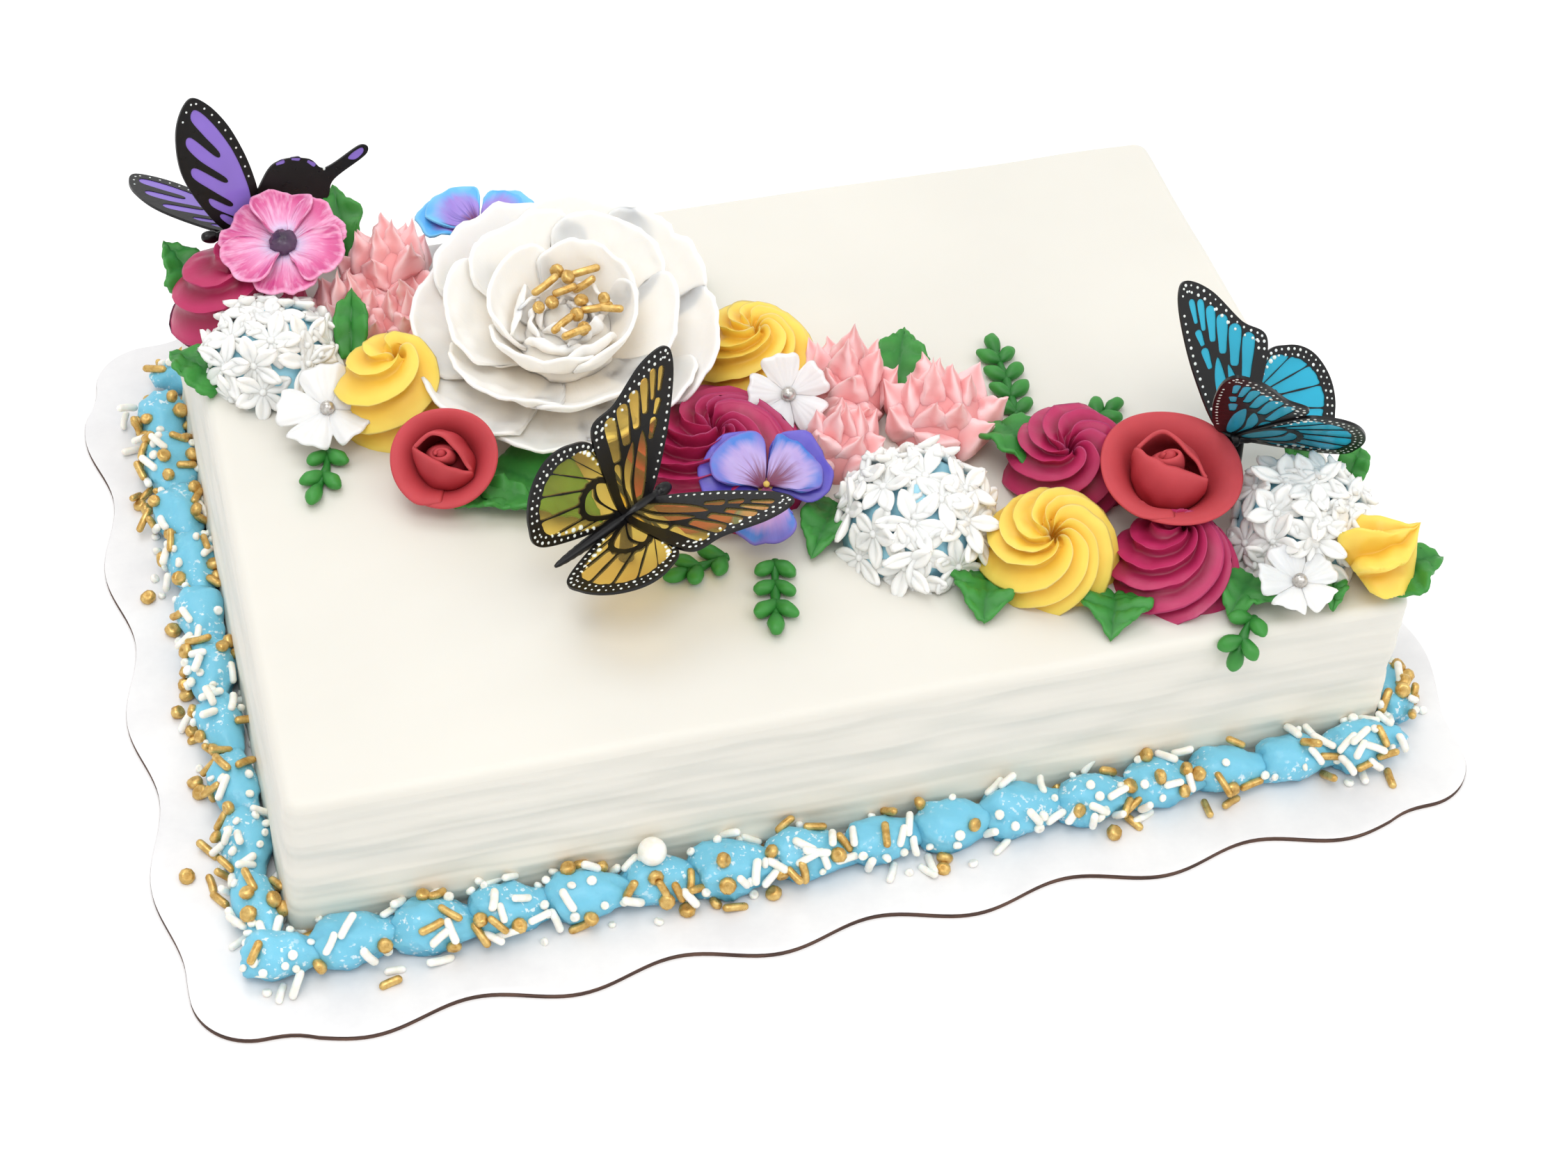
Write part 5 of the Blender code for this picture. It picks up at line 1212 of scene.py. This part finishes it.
def blossom(name, spot, radius, lean, paste, centre_paint, seed, stretch=1.0):
    """A small pearl-white flower with five broad lobes that flare to soft corners, and a silver ball."""
    rng = np.random.default_rng(seed)
    where = stand(spot, lean, 0.3)
    form = Form()
    rows, columns = 16, 150
    v = np.linspace(0, 1, rows)[:, None] ** 0.8
    angle = np.linspace(0, 2 * math.pi, columns, endpoint=False)[None, :]
    along = np.angle(np.exp(5j * (angle + 0.05 * wobble(angle, rng, 3))))
    gap = np.exp(-(((math.pi - np.abs(along)) / 0.42) ** 2))
    corner = np.exp(-(((np.abs(along) - 1.7) / 0.7) ** 2))
    rim = radius * (0.93 - 0.3 * gap + 0.03 * corner + 0.02 * np.cos(3 * along)) * (1 + 0.05 * wobble(angle, rng, 5))
    r = rim * (0.04 + 0.96 * v)
    fold = 1.3 * np.cos(along) + 1.2 * corner + 0.12 * np.sin(7 * along + 1.0)
    z = 4.4 + 1.2 * v**2 + fold * v**1.6 + 0.8 * wobble(angle, rng, 4) * v
    middle = np.stack([r * np.cos(angle) * stretch, r * np.sin(angle), z], -1)
    # Painted shade: the tone darkens each blossom towards its heart.
    form.sheet(middle, 1.1, (0.4 + 0.6 * v) * np.ones_like(angle), wrap=True, matrix=where)
    points, faces = ball(10, 14)
    form.add(moved(points * 2.3 + np.array((0, 0, 5.4)), where), faces, slot=1)
    stem = points * np.array((3.4, 3.4, 4 + spot[2] / 2)) + np.array((0, 0, 1 - spot[2] / 2))
    form.add(moved(stem, stand(spot)), faces)
    return form.make(name + "_petals", (paste, centre_paint), "petal_white", [name])


def vein_cells(inner, outer, shares, vein=0.36):
    """Cells between a wing's inner and outer curve, parted by thin veins at the given shares."""
    inner, outer = smooth_curve(inner, 200), smooth_curve(outer, 200)
    cells = []
    for first, last in zip(shares, shares[1:]):
        edges = []
        for curve, out in ((inner, True), (outer, False)):
            run = np.concatenate([[0], np.cumsum(np.linalg.norm(np.diff(curve, axis=0), axis=1))])
            low, high = first * run[-1] + vein, last * run[-1] - vein
            if high - low < 0.3:
                low = high = (low + high) / 2
            at = np.linspace(low, high, 5)
            edges.append(np.stack([np.interp(at, run, curve[:, k]) for k in (0, 1)], 1))
        near, far = edges
        bulge = np.sin(np.linspace(0, math.pi, 5))[:, None]
        ray = far.mean(axis=0) - near.mean(axis=0)
        ray /= np.linalg.norm(ray)
        far = far + ray * (bulge - 0.8) * 0.9
        near = near + ray * 0.35
        cells.append(closed_curve(np.vstack([near[[0, 2, 4]], (near[4] + far[4]) / 2, far[::-1], (near[0] + far[0]) / 2]), 44))
    return cells


# Leaves and sprigs


def leaf(name, root, tip, width, paint, seed):
    """A piped leaf: wide near its root, drawn to a point, grooved down its middle and puckered on both sides."""
    rng = np.random.default_rng(seed)
    rows, columns = 36, 21
    start, end = np.array(root, float), np.array(tip, float)
    start[2] += 1.2
    end[2] += 1.2
    run = end - start
    end = end + 0.08 * run
    run = end - start
    across = np.array((-run[1], run[0], 0.0))
    across /= np.linalg.norm(across)
    t = end_steps(rows)[:, None]
    a = end_steps(columns, -1.0, 1.0)[None, :]
    half = width / 2 * 1.14 * np.clip(np.sin(math.pi * (0.2 + 0.8 * t) ** 0.86), 0, 1) ** 1.05
    half = half * (1 + 0.13 * wobble(t * 6, rng, 4, 1.4)) * (1 + 0.07 * a * wobble(t * 6, rng, 3, 1.4))
    pucker = 0.95 * np.sin(t * math.pi * rng.uniform(5.5, 7.5) + rng.uniform(0, 6) + 2.2 * np.abs(a))
    full = np.sin(math.pi * np.minimum(1, 0.08 + t))
    rise = 2.4 * np.sin(math.pi * t) + 2.2 * np.abs(a) ** 1.3 * full
    rise = rise + pucker * np.abs(a) ** 0.8 * full - 0.9 * np.exp(-((a / 0.12) ** 2)) * (1 - t)
    middle = start + run * t[..., None] + across * (half * a)[..., None]
    middle = middle + np.array((0, 0, 1.0)) * rise[..., None]
    middle += 0.16 * bumps(middle, 3.2, seed)[..., None]
    thick = 2.0 * np.clip(1 - 0.5 * t, 0, 1)
    # Painted shade and highlight: darker down the middle groove, lighter at the edges and on the puckers' crests.
    tone = np.clip(0.25 + 0.6 * np.abs(a) ** 0.6 + 0.25 * pucker * np.abs(a), 0, 1) * np.ones_like(t)
    form = Form()
    form.sheet(middle, thick, tone)
    return form.make(name + "_piping", (paint,), "icing_green", [name])


def sprig(name, path, paint, seed):
    """Small piped bulbs in pairs along a stem, with one at its end."""
    rng = np.random.default_rng(seed)
    points = np.array(path, float) + np.array((0, 0, 1.4))
    total = np.linalg.norm(np.diff(points, axis=0), axis=1).sum()
    line = smooth_curve(points, 60)
    form = Form()
    ring = np.linspace(0, 2 * math.pi, 12, endpoint=False)
    tangent = np.gradient(line, axis=0)
    tangent /= np.linalg.norm(tangent, axis=1, keepdims=True)
    side = np.cross(tangent, np.array((0, 0, 1.0)))
    side /= np.linalg.norm(side, axis=1, keepdims=True)
    up = np.cross(side, tangent)
    thick = 1.3 + 0.25 * np.sin(np.linspace(0, 14, 60))
    stem = line[:, None] + thick[:, None, None] * (
        np.cos(ring)[None, :, None] * side[:, None] + np.sin(ring)[None, :, None] * up[:, None]
    )
    stem = np.concatenate([np.repeat(line[:1, None], 12, 1), stem, np.repeat(line[-1:, None], 12, 1)])
    # Painted shade: the stem and the bulbs' roots darker, the bulbs' ends lighter.
    form.add(stem, grid_faces(62, 12, wrap=True), 0.3)
    pairs = max(2, round(total / 8))
    spots = []
    for index in range(pairs):
        at = int(59 * (index + 0.2) / pairs)
        for hand in (-1, 1):
            spots.append((line[at], tangent[at] * 0.9 + side[at] * hand))
    spots.append((line[-1] - tangent[-1] * 2, tangent[-1]))
    unit, faces = ball(12, 14)
    for spot, direction in spots:
        direction = direction / np.linalg.norm(direction)
        size = rng.uniform(0.94, 1.08)
        shape = unit * np.array((2.45, 2.2, 4.3)) * size
        shape[..., :2] *= 0.72 + 0.28 * smooth_step(unit[..., 2:3], -1.0, 0.3)
        shape = shape * (1 + 0.04 * bumps(shape, 4, rng.integers(1e6))[..., None])
        centre = spot + direction * 3.6 + np.array((0, 0, 0.8))
        form.add(moved(shape, aim(centre, direction + np.array((0, 0, 0.1)))), faces, 0.6 + 0.4 * unit[..., 2])
    return form.make(name + "_piping", (paint,), "icing_green", [name])


def capsule_cell(start, end, width, neck=0.7):
    """A rounded cell along a line, a little narrower where it starts."""
    start, end = np.array(start, float), np.array(end, float)
    ray = (end - start) / np.linalg.norm(end - start)
    side = np.array((-ray[1], ray[0]))
    length = np.linalg.norm(end - start)
    shape = ((0.0, 0.0), (0.04, 0.46 * neck), (0.3, 0.5 * (0.35 + 0.65 * neck)), (0.7, 0.52), (0.92, 0.46), (1.0, 0.0))
    loop = [*shape, *((along, -off) for along, off in shape[-2:0:-1])]
    return closed_curve(np.array([start + ray * length * along + side * width * off for along, off in loop]), 44)


# Butterflies


FORE_WING = ((1, 9), (14, 20), (28, 28), (37, 31), (41, 29), (40, 20), (34, 8), (31, -2), (14, -3), (1, -1))
HIND_WING = ((1, 3), (25, -2), (31, -10), (31, -19), (25, -27), (16, -31), (8, -29), (1, -8))
SWALLOW_FORE = ((1, 8), (9, 17), (20, 24.5), (31, 27), (39, 26), (44, 22.5), (42, 17), (36, 10.5), (28, 5), (20, 1), (12, -1.5), (1, -1.5))
SWALLOW_HIND = ((1, 3), (19, -3), (24, -9), (24, -18), (21, -24), (28, -36), (25, -38), (17, -27), (10, -24), (1, -8))


def flat_shape(loops, thickness):
    """A plate from closed outlines, where each outline inside another is a hole."""
    curve = bpy.data.curves.new("outline", "CURVE")
    curve.dimensions = "2D"
    curve.fill_mode = "BOTH"
    curve.extrude = thickness / 2
    for loop in loops:
        spline = curve.splines.new("POLY")
        spline.points.add(len(loop) - 1)
        for slot, (u, v) in zip(spline.points, loop):
            slot.co = (u, v, 0.0, 1.0)
        spline.use_cyclic_u = True
    holder = bpy.data.objects.new("outline", curve)
    bpy.context.scene.collection.objects.link(holder)
    bpy.context.view_layer.update()
    mesh = bpy.data.meshes.new_from_object(holder.evaluated_get(bpy.context.evaluated_depsgraph_get()))
    points = np.array([vert.co[:] for vert in mesh.vertices]).reshape(-1, 3)
    faces = [list(face.vertices) for face in mesh.polygons]
    bpy.data.objects.remove(holder, do_unlink=True)
    bpy.data.meshes.remove(mesh)
    bpy.data.curves.remove(curve)
    return points, faces


def edge_dots(outline, inset, spacing, low, high):
    """Spots along part of a wing's edge, a little way in from it."""
    closed = np.vstack([outline, outline[:1]])
    run = np.concatenate([[0], np.cumsum(np.linalg.norm(np.diff(closed, axis=0), axis=1))])
    count = int((high - low) * run[-1] / spacing)
    at = (low + (high - low) * (np.arange(count) + 0.5) / count) * run[-1]
    spots = np.stack([np.interp(at, run, closed[:, k]) for k in (0, 1)], 1)
    ahead = np.stack([np.interp(at + 0.5, run, closed[:, k]) for k in (0, 1)], 1) - spots
    ahead /= np.linalg.norm(ahead, axis=1, keepdims=True)
    inward = np.stack([ahead[:, 1], -ahead[:, 0]], 1)
    return spots + inward * inset


def wing(form, outline_points, cells, dots, side, lean, lift, matrix, thickness=0.9, slots=(0, 1, 2)):
    """A moulded wing: a black frame, thin tinted cells and small white spots on both faces."""
    outline = closed_curve(outline_points, 120)
    angle = math.radians(lean)

    def onto_wing(points):
        u, v, height = points[..., 0], points[..., 1], points[..., 2] + lift
        x = side * (u * math.cos(angle) - height * math.sin(angle))
        return moved(np.stack([x, v, u * math.sin(angle) + height * math.cos(angle)], -1), matrix)

    points, faces = flat_shape([outline, *cells], thickness)
    add_faces(form, onto_wing(points), faces, slots[0])
    if cells:
        points, faces = flat_shape(cells, thickness * 0.45)
        add_faces(form, onto_wing(points), faces, slots[1])
    unit, ball_faces = ball(4, 8)
    for spot, size in dots:
        disc = unit * np.array((size, size, thickness / 2 + 0.14)) + np.array((spot[0], spot[1], 0))
        form.add(onto_wing(disc), ball_faces, slot=slots[2])


def add_faces(form, points, faces, slot):
    """Faces of mixed sizes."""
    for size in sorted({len(face) for face in faces}):
        group = [face for face in faces if len(face) == size]
        form.faces.extend((np.array(group) + form.count).tolist())
        form.slots.extend([slot] * len(group))
    form.points.append(points)
    form.tones.append(np.full(len(points), 0.5))
    form.places.append(np.zeros_like(points))
    form.count += len(points)


def body(form, matrix, spot, slot=0, front=1.0):
    """Head, thorax and abdomen with fine rings, and a pick down into the icing."""
    profile = (
        (17.5, 0.0), (17.0, 1.2), (15.5, 1.9), (13.5, 2.0), (12.0, 1.5), (9.5, 2.4), (4.0, 2.5), (0.0, 1.7),
        (-6.0, 1.95), (-15.0, 1.7), (-23.0, 1.2), (-27.0, 0.6), (-27.5, 0.0),
    )
    rows = smooth_curve([(y * front if y > 0 else y, r) for y, r in profile], 80)
    turn = np.linspace(0, 2 * math.pi, 20, endpoint=False)[None, :]
    y = rows[:, 0][:, None]
    ringed = 1 + 0.05 * np.sin(y * 2.6) * (y < 0)
    r = rows[:, 1][:, None] * ringed
    points = np.stack([r * np.cos(turn), y + 0 * turn, r * np.sin(turn)], -1)
    form.add(moved(points, matrix), grid_faces(80, 20, wrap=True), slot=slot)
    rise = ((0, -0.4), (2.4, -0.4), (1.3, spot[2]), (0, spot[2]))
    pick = np.array([[(r * math.cos(a), r * math.sin(a), z) for a in np.linspace(0, 2 * math.pi, 12, endpoint=False)] for r, z in rise])
    form.add(pick + np.array((spot[0], spot[1], 0)), grid_faces(4, 12, wrap=True), slot=slot)


def butterfly(name, spot, angles, paints, slot, pattern, nod=0.0, front=1.0):
    """The nod tips the body alone down at its head, and front shortens it there."""
    heading, pitch, roll, lean = angles
    turn = (
        Matrix.Rotation(math.radians(heading), 4, "Z")
        @ Matrix.Rotation(math.radians(pitch), 4, "X")
        @ Matrix.Rotation(math.radians(roll), 4, "Y")
    )
    matrix = np.array(Matrix.Translation(Vector(spot)) @ turn)
    form = Form()
    body(form, matrix @ np.array(Matrix.Rotation(-math.radians(nod), 4, "X")), spot, front=front)
    for side in (-1, 1):
        for index, (outline, cells, dots) in enumerate(pattern):
            wing(form, outline, cells, dots, side, lean, 0.45 - 0.5 * index, matrix)
    return form.make(name + "_wings", paints, slot, [name], sharp=50)


def monarch_pattern():
    rng = np.random.default_rng(2)
    fore = closed_curve(FORE_WING, 120)
    hind = closed_curve(HIND_WING, 120)
    # Cells as start, end and width, along the wing's veins.
    fore_lines = (
        ((29.4, 23.2), (36.0, 26.6), 2.1),
        ((28.0, 20.2), (36.8, 23.6), 2.4),
        ((25.6, 16.4), (35.8, 19.8), 3.2),
        ((23.0, 12.2), (34.4, 15.2), 3.9),
        ((20.4, 7.4), (32.8, 10.0), 4.4),
        ((17.4, 2.6), (31.4, 4.6), 4.4),
        ((17.6, 15.4), (23.0, 19.0), 2.6),
        ((23.6, 19.4), (27.6, 22.4), 2.3),
    )
    fore_cells = [capsule_cell(*line) for line in fore_lines]
    for loop in (
        ((2.4, 4.6), (8.6, 5.6), (15.6, 9.2), (21.6, 13.6), (16.2, 13.6), (8.4, 10.4), (2.6, 6.8)),
        ((2.2, 2.0), (9.0, 2.4), (15.4, 4.6), (20.4, 9.6), (15.2, 8.2), (8.8, 4.8), (2.4, 3.4)),
        ((3.0, 0.2), (9.0, 0.0), (16.6, 1.0), (15.4, 3.2), (9.0, 1.6), (3.0, 1.2)),
    ):
        fore_cells.append(closed_curve(loop, 40))
    inner = ((7.0, 2.6), (13.5, -0.6), (16.6, -5.0), (16.2, -10.0), (12.6, -13.4), (8.0, -13.6), (4.6, -9.6), (2.6, -5.0))
    outer = ((19.0, -1.4), (25.6, -4.0), (27.6, -9.6), (27.2, -17.6), (22.6, -23.8), (15.8, -27.0), (9.4, -25.2), (5.2, -17.0), (2.6, -9.6))
    hind_cells = vein_cells(inner, outer, (0.0, 0.13, 0.25, 0.37, 0.49, 0.61, 0.73, 0.86, 1.0))
    hind_cells.append(closed_curve(((2.6, 1.6), (7.0, 1.0), (12.2, -1.8), (15.0, -6.0), (10.4, -6.8), (5.4, -4.0), (2.6, -1.2)), 40))
    hind_cells.append(closed_curve(((3.4, -3.6), (6.4, -5.4), (10.6, -7.8), (14.4, -7.4), (13.6, -10.6), (9.6, -12.2), (6.2, -9.6)), 40))
    fore_dots = edge_dots(fore, 1.3, 2.5, 0.33, 0.72), edge_dots(fore, 3.3, 2.7, 0.35, 0.7), edge_dots(fore, 1.3, 2.4, 0.04, 0.3)
    hind_dots = edge_dots(hind, 1.2, 2.3, 0.14, 0.86), edge_dots(hind, 2.9, 2.6, 0.18, 0.82)
    sized = [[(spot, rng.uniform(0.5, 0.95)) for row in dots for spot in row] for dots in (fore_dots, hind_dots)]
    return ((FORE_WING, fore_cells, sized[0]), (HIND_WING, hind_cells, sized[1]))


def swallow_pattern():
    fore = closed_curve(SWALLOW_FORE, 120)
    fingers = (
        (5.0, 1.6), (12.0, 1.2), (19.0, 3.6), (27.0, 7.8), (34.0, 13.2), (39.0, 18.4), (40.4, 21.6), (37.4, 22.4),
        (32.6, 18.2), (27.0, 12.6), (25.6, 13.6), (31.8, 22.2), (29.2, 23.6), (24.4, 18.8), (18.8, 10.0), (17.4, 10.8),
        (22.2, 20.4), (19.2, 21.0), (14.4, 13.6), (10.8, 7.6), (9.6, 8.4), (12.4, 15.0), (9.8, 14.2), (6.8, 8.0),
    )
    cells = [closed_curve(fingers, 140), closed_curve(((3.0, 4.4), (5.2, 6.0), (7.2, 10.4), (6.2, 11.4), (3.6, 8.0)), 24)]
    dots = [(spot, 0.62) for spot in edge_dots(fore, 1.6, 3.4, 0.36, 0.76)]
    drop = closed_curve(((23.8, -31.6), (25.8, -33.4), (27.2, -36.4), (25.6, -37.0), (23.4, -34.4)), 20)
    marks = (((22.6, -6.6), (23.6, -9.6), 1.3), ((24.2, -11.8), (24.2, -15.0), 1.3), ((23.4, -17.4), (21.8, -20.4), 1.3))
    dashes = [capsule_cell(*line) for line in marks]
    light = [((20.6, -23.4), 0.8)]
    return ((SWALLOW_FORE, cells, dots), (SWALLOW_HIND, [drop, *dashes], light))


# Everything in its place


def add_toppers():
    black = gloss_black()
    dots = sugar_white("wing_spots")
    amber = wing_film("film_amber", linear(251, 228, 160), 0.92)
    teal = wing_film("film_teal", linear(62, 190, 216), 0.4)
    violet = wing_film("film_violet", linear(136, 110, 200), 0.05)
    monarch = monarch_pattern()
    butterfly("butterfly_amber", (-54.5, -42, 17), (-60.5, 3.8, 26.5, 44), (black, amber, dots), "plastic_amber", monarch)
    perched = {"nod": 24, "front": 0.35}
    butterfly("butterfly_blue", (130.6, -54, 19), (83.3, 23.6, 7.1, 52.5), (black, teal, dots), "plastic_blue", monarch, **perched)
    winged = (104.6, 17.4, 58.5, 51)
    butterfly("butterfly_purple", (-141, 107.5, 17), winged, (black, violet, dots), "plastic_purple", swallow_pattern())


def add_flowers(gold):
    pearl = pearl_paste()
    peony("peony", (-54.6, 40.2, 6.5), 11, pearl, gold)
    red = rose_paste()
    rose("rose_right", (106, -60, 6), 20.2, 17, 7, red, 3)
    rose("rose_left", (-98.5, 2.5, 4), 14.8, 15, 34, red, 4, bud=1.1)
    button = soft("button_mauve", linear(84, 62, 88), linear(44, 32, 50), 0.3)
    anemone("anemone", (-132.5, 92.5, 19.5), 20.3, 13, anemone_print(), button)
    violet, mauve, maroon = linear(62, 52, 150), linear(118, 102, 188), linear(104, 30, 72)
    blue = linear(66, 116, 198)
    upper = pansy_print("pansy_upper", linear(58, 46, 144), violet, linear(74, 64, 172), linear(104, 92, 190), violet)
    side_paint = pansy_print("pansy_side", maroon, linear(172, 152, 206), blue, mauve, linear(112, 34, 70))
    lower = pansy_print("pansy_lower", maroon, linear(172, 134, 190), blue, mauve, linear(140, 50, 90))
    cyan = pansy_print("pansy_cyan", maroon, linear(150, 124, 206), linear(84, 170, 232), linear(120, 196, 240), violet)
    eye = soft("pansy_eye", linear(232, 200, 96), linear(150, 90, 60), 0.4)
    pansy("pansy_front", (-10, -33, 7), 20, 22, upper, side_paint, lower, eye, 8)
    pansy("pansy_back", (-70.5, 98, 9.5), 20, 6, cyan, cyan, cyan, eye, 9)
    dragee = silver()
    # The second colour is painted shade towards each blossom's heart.
    snow = pearl_paste("blossom_paste", (232, 230, 227), (214, 211, 208))
    blossom("blossom_left", (-129.5, 31.5, 5), 15, 18, snow, dragee, 1, stretch=1.1)
    blossom("blossom_mid", (6, 1, 12), 13.2, 36, snow, dragee, 2)
    blossom("blossom_right", (130, -105, 5), 12.5, 8, snow, dragee, 3)


def add_piping():
    # In each soft paint the first colour is for ridges and the second is painted shade for folds, grooves and roots.
    yellow = soft("icing_yellow", linear(243, 210, 92), linear(228, 170, 40), 0.42, 0.3)
    magenta = soft("icing_magenta", linear(180, 46, 94), linear(122, 14, 48), 0.4, 0.15)
    pink = soft("icing_pink", linear(249, 202, 203), linear(236, 156, 156), 0.5, 0.25)
    blue = soft("icing_pale_blue", linear(176, 226, 242), linear(140, 208, 232), 0.45, 0.25)
    white = soft("icing_white", linear(247, 245, 240), linear(234, 235, 232), 0.5, 0.3)
    green = soft("icing_green", linear(60, 138, 58), linear(22, 94, 36), 0.45, 0.15)
    leaning = {"eye": (0, 0), "lean": 24, "calm": 2.05}
    rosette("rosette_yellow_front", (65, -72), 19.5, 24, 9, 250, yellow, "icing_yellow", 41, **leaning)
    # Name, x, y, radius, height, ridges, twist, eye, lean and how evenly the ridges wind.
    swirls = (
        ("rosette_magenta_front", 99.5, -86, 18.5, 13.5, 7, 330, (5, 9), 4, 1.3),
        ("rosette_magenta_back", 83, -40, 18.5, 23, 8, 280, (-3, -3), 14, 1.45),
        ("rosette_magenta_mid", -19, -11.5, 27, 15.5, 9, 300, (0, 3), 0, 1.3),
        ("rosette_yellow_back", 3, 29, 19, 18, 8, 300, (0, 0), 0, 1.45),
        ("rosette_magenta_left", -149, 91, 20.5, 22, 4, 430, (3, 0), 6, 1.0),
        ("rosette_yellow_left", -109.5, 35, 17.5, 25, 4, 560, (3, 2), 6, 1.0),
    )
    for seed, (name, x, y, radius, height, ridges, twist, eye, lean, wind) in enumerate(swirls):
        colour = "yellow" if "yellow" in name else "magenta"
        paint = yellow if colour == "yellow" else magenta
        look = {"eye": eye, "lean": lean, "wind": wind}
        rosette(name, (x, y), radius, height, ridges, twist, paint, "icing_" + colour, 50 + seed, **look)
    star_swirl("star_yellow_right", (149, -102.5, 6.5), (168.5, -100, 19.5), 14, 6, yellow)
    for seed, (name, x, y, radius, height, florets) in enumerate(
        (
            ("hydrangea_mid", 31, -52, 25.5, 26, 29),
            ("hydrangea_right", 142, -80, 22.5, 24, 23),
            ("hydrangea_left", -142, 63, 22.5, 22, 22),
        )
    ):
        hydrangea(name, (x, y), radius, height, 60 + seed, white, blue, florets)
    for seed, (name, x, y, radius, height) in enumerate(
        (
            ("mum_mid_c", 17, -16, 15, 21),
            ("mum_mid_b", 51, -11, 19, 27),
            ("mum_mid_a", 26, 7, 17, 28),
            ("mum_left_a", -101, 92, 17, 28),
            ("mum_left_b", -117, 76, 14.5, 21),
            ("mum_left_c", -98, 71, 13.5, 19),
        )
    ):
        mum(name, (x, y), radius, height, 70 + seed, pink)
    # Name, root, tip, width.
    leaves = (
        ("right_end", (157, -105, 2), (176, -103, 5), 19),
        ("right_curl", (143, -101, 0), (139, -112, 1), 8),
        ("blossom_right", (121, -95, 2), (109, -107, 1), 19),
        ("yellow_right", (80, -90, 0), (73, -106, 0), 18),
        ("yellow_left", (46, -74, 0), (39, -92, 0), 18),
        ("mid_back", (67, -20, 7), (71, -45, 9), 17),
        ("pink_back", (41, 3, 1), (50, 24, 9), 16),
        ("hydrangea_mid", (12, -36, 0), (-2, -56, 1), 15),
        ("left_mid", (-119, 55, 4), (-115, 74, 15), 9.5),
        ("rose_a", (-86, 3, 0), (-60, -26, 0.5), 25),
        ("rose_b", (-97, -7, 0), (-76, -19, 1), 13),
        ("far_left", (-158, 56, 0), (-172, 72, 2), 16),
        ("corner_left", (-160, 98, 0), (-168, 117, 9), 13),
        ("corner_back", (-113, 105, 3), (-113, 121, 19), 12),
        ("peony_back", (-14, 60, 0), (-3, 73, 5), 9),
        ("butterfly_right", (152, -60, 3), (149, -46, 10), 9),
        ("hydrangea_right", (161, -68, 3), (170, -58, 8), 9),
    )
    for seed, (name, root, tip, width) in enumerate(leaves):
        leaf("leaf_" + name, root, tip, width, green, 90 + seed)
    sprigs = (
        ("left", ((-132, 21, 0), (-134, 12, 0), (-138, 4, 0))),
        ("mid_a", ((-26, -50, 0), (-34, -52, 0), (-41, -54, 0))),
        ("mid_b", ((-13, -55, 0), (-16, -66, 0), (-19, -78, 0))),
        ("back", ((76, -12, 0), (78, 3, 0), (79, 19, 0))),
        ("back_b", ((93, -22, 0), (99, -19, 0), (105, -16, 0))),
        ("right", ((116, -109, 0), (112.5, -112, 0.5), (109.5, -115.5, -2), (108.5, -116.5, -6))),
    )
    for seed, (name, path) in enumerate(sprigs):
        sprig("sprig_" + name, path, green, 120 + seed)


def main():
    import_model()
    add_camera()
    add_light()
    add_floor()
    add_board()
    add_cake(cake_icing())
    tree, strips = add_border(sky_icing())
    gold = gold_dust()
    add_sprinkles(tree, strips, gold, sugar_white())
    add_piping()
    add_flowers(gold)
    add_toppers()


main()
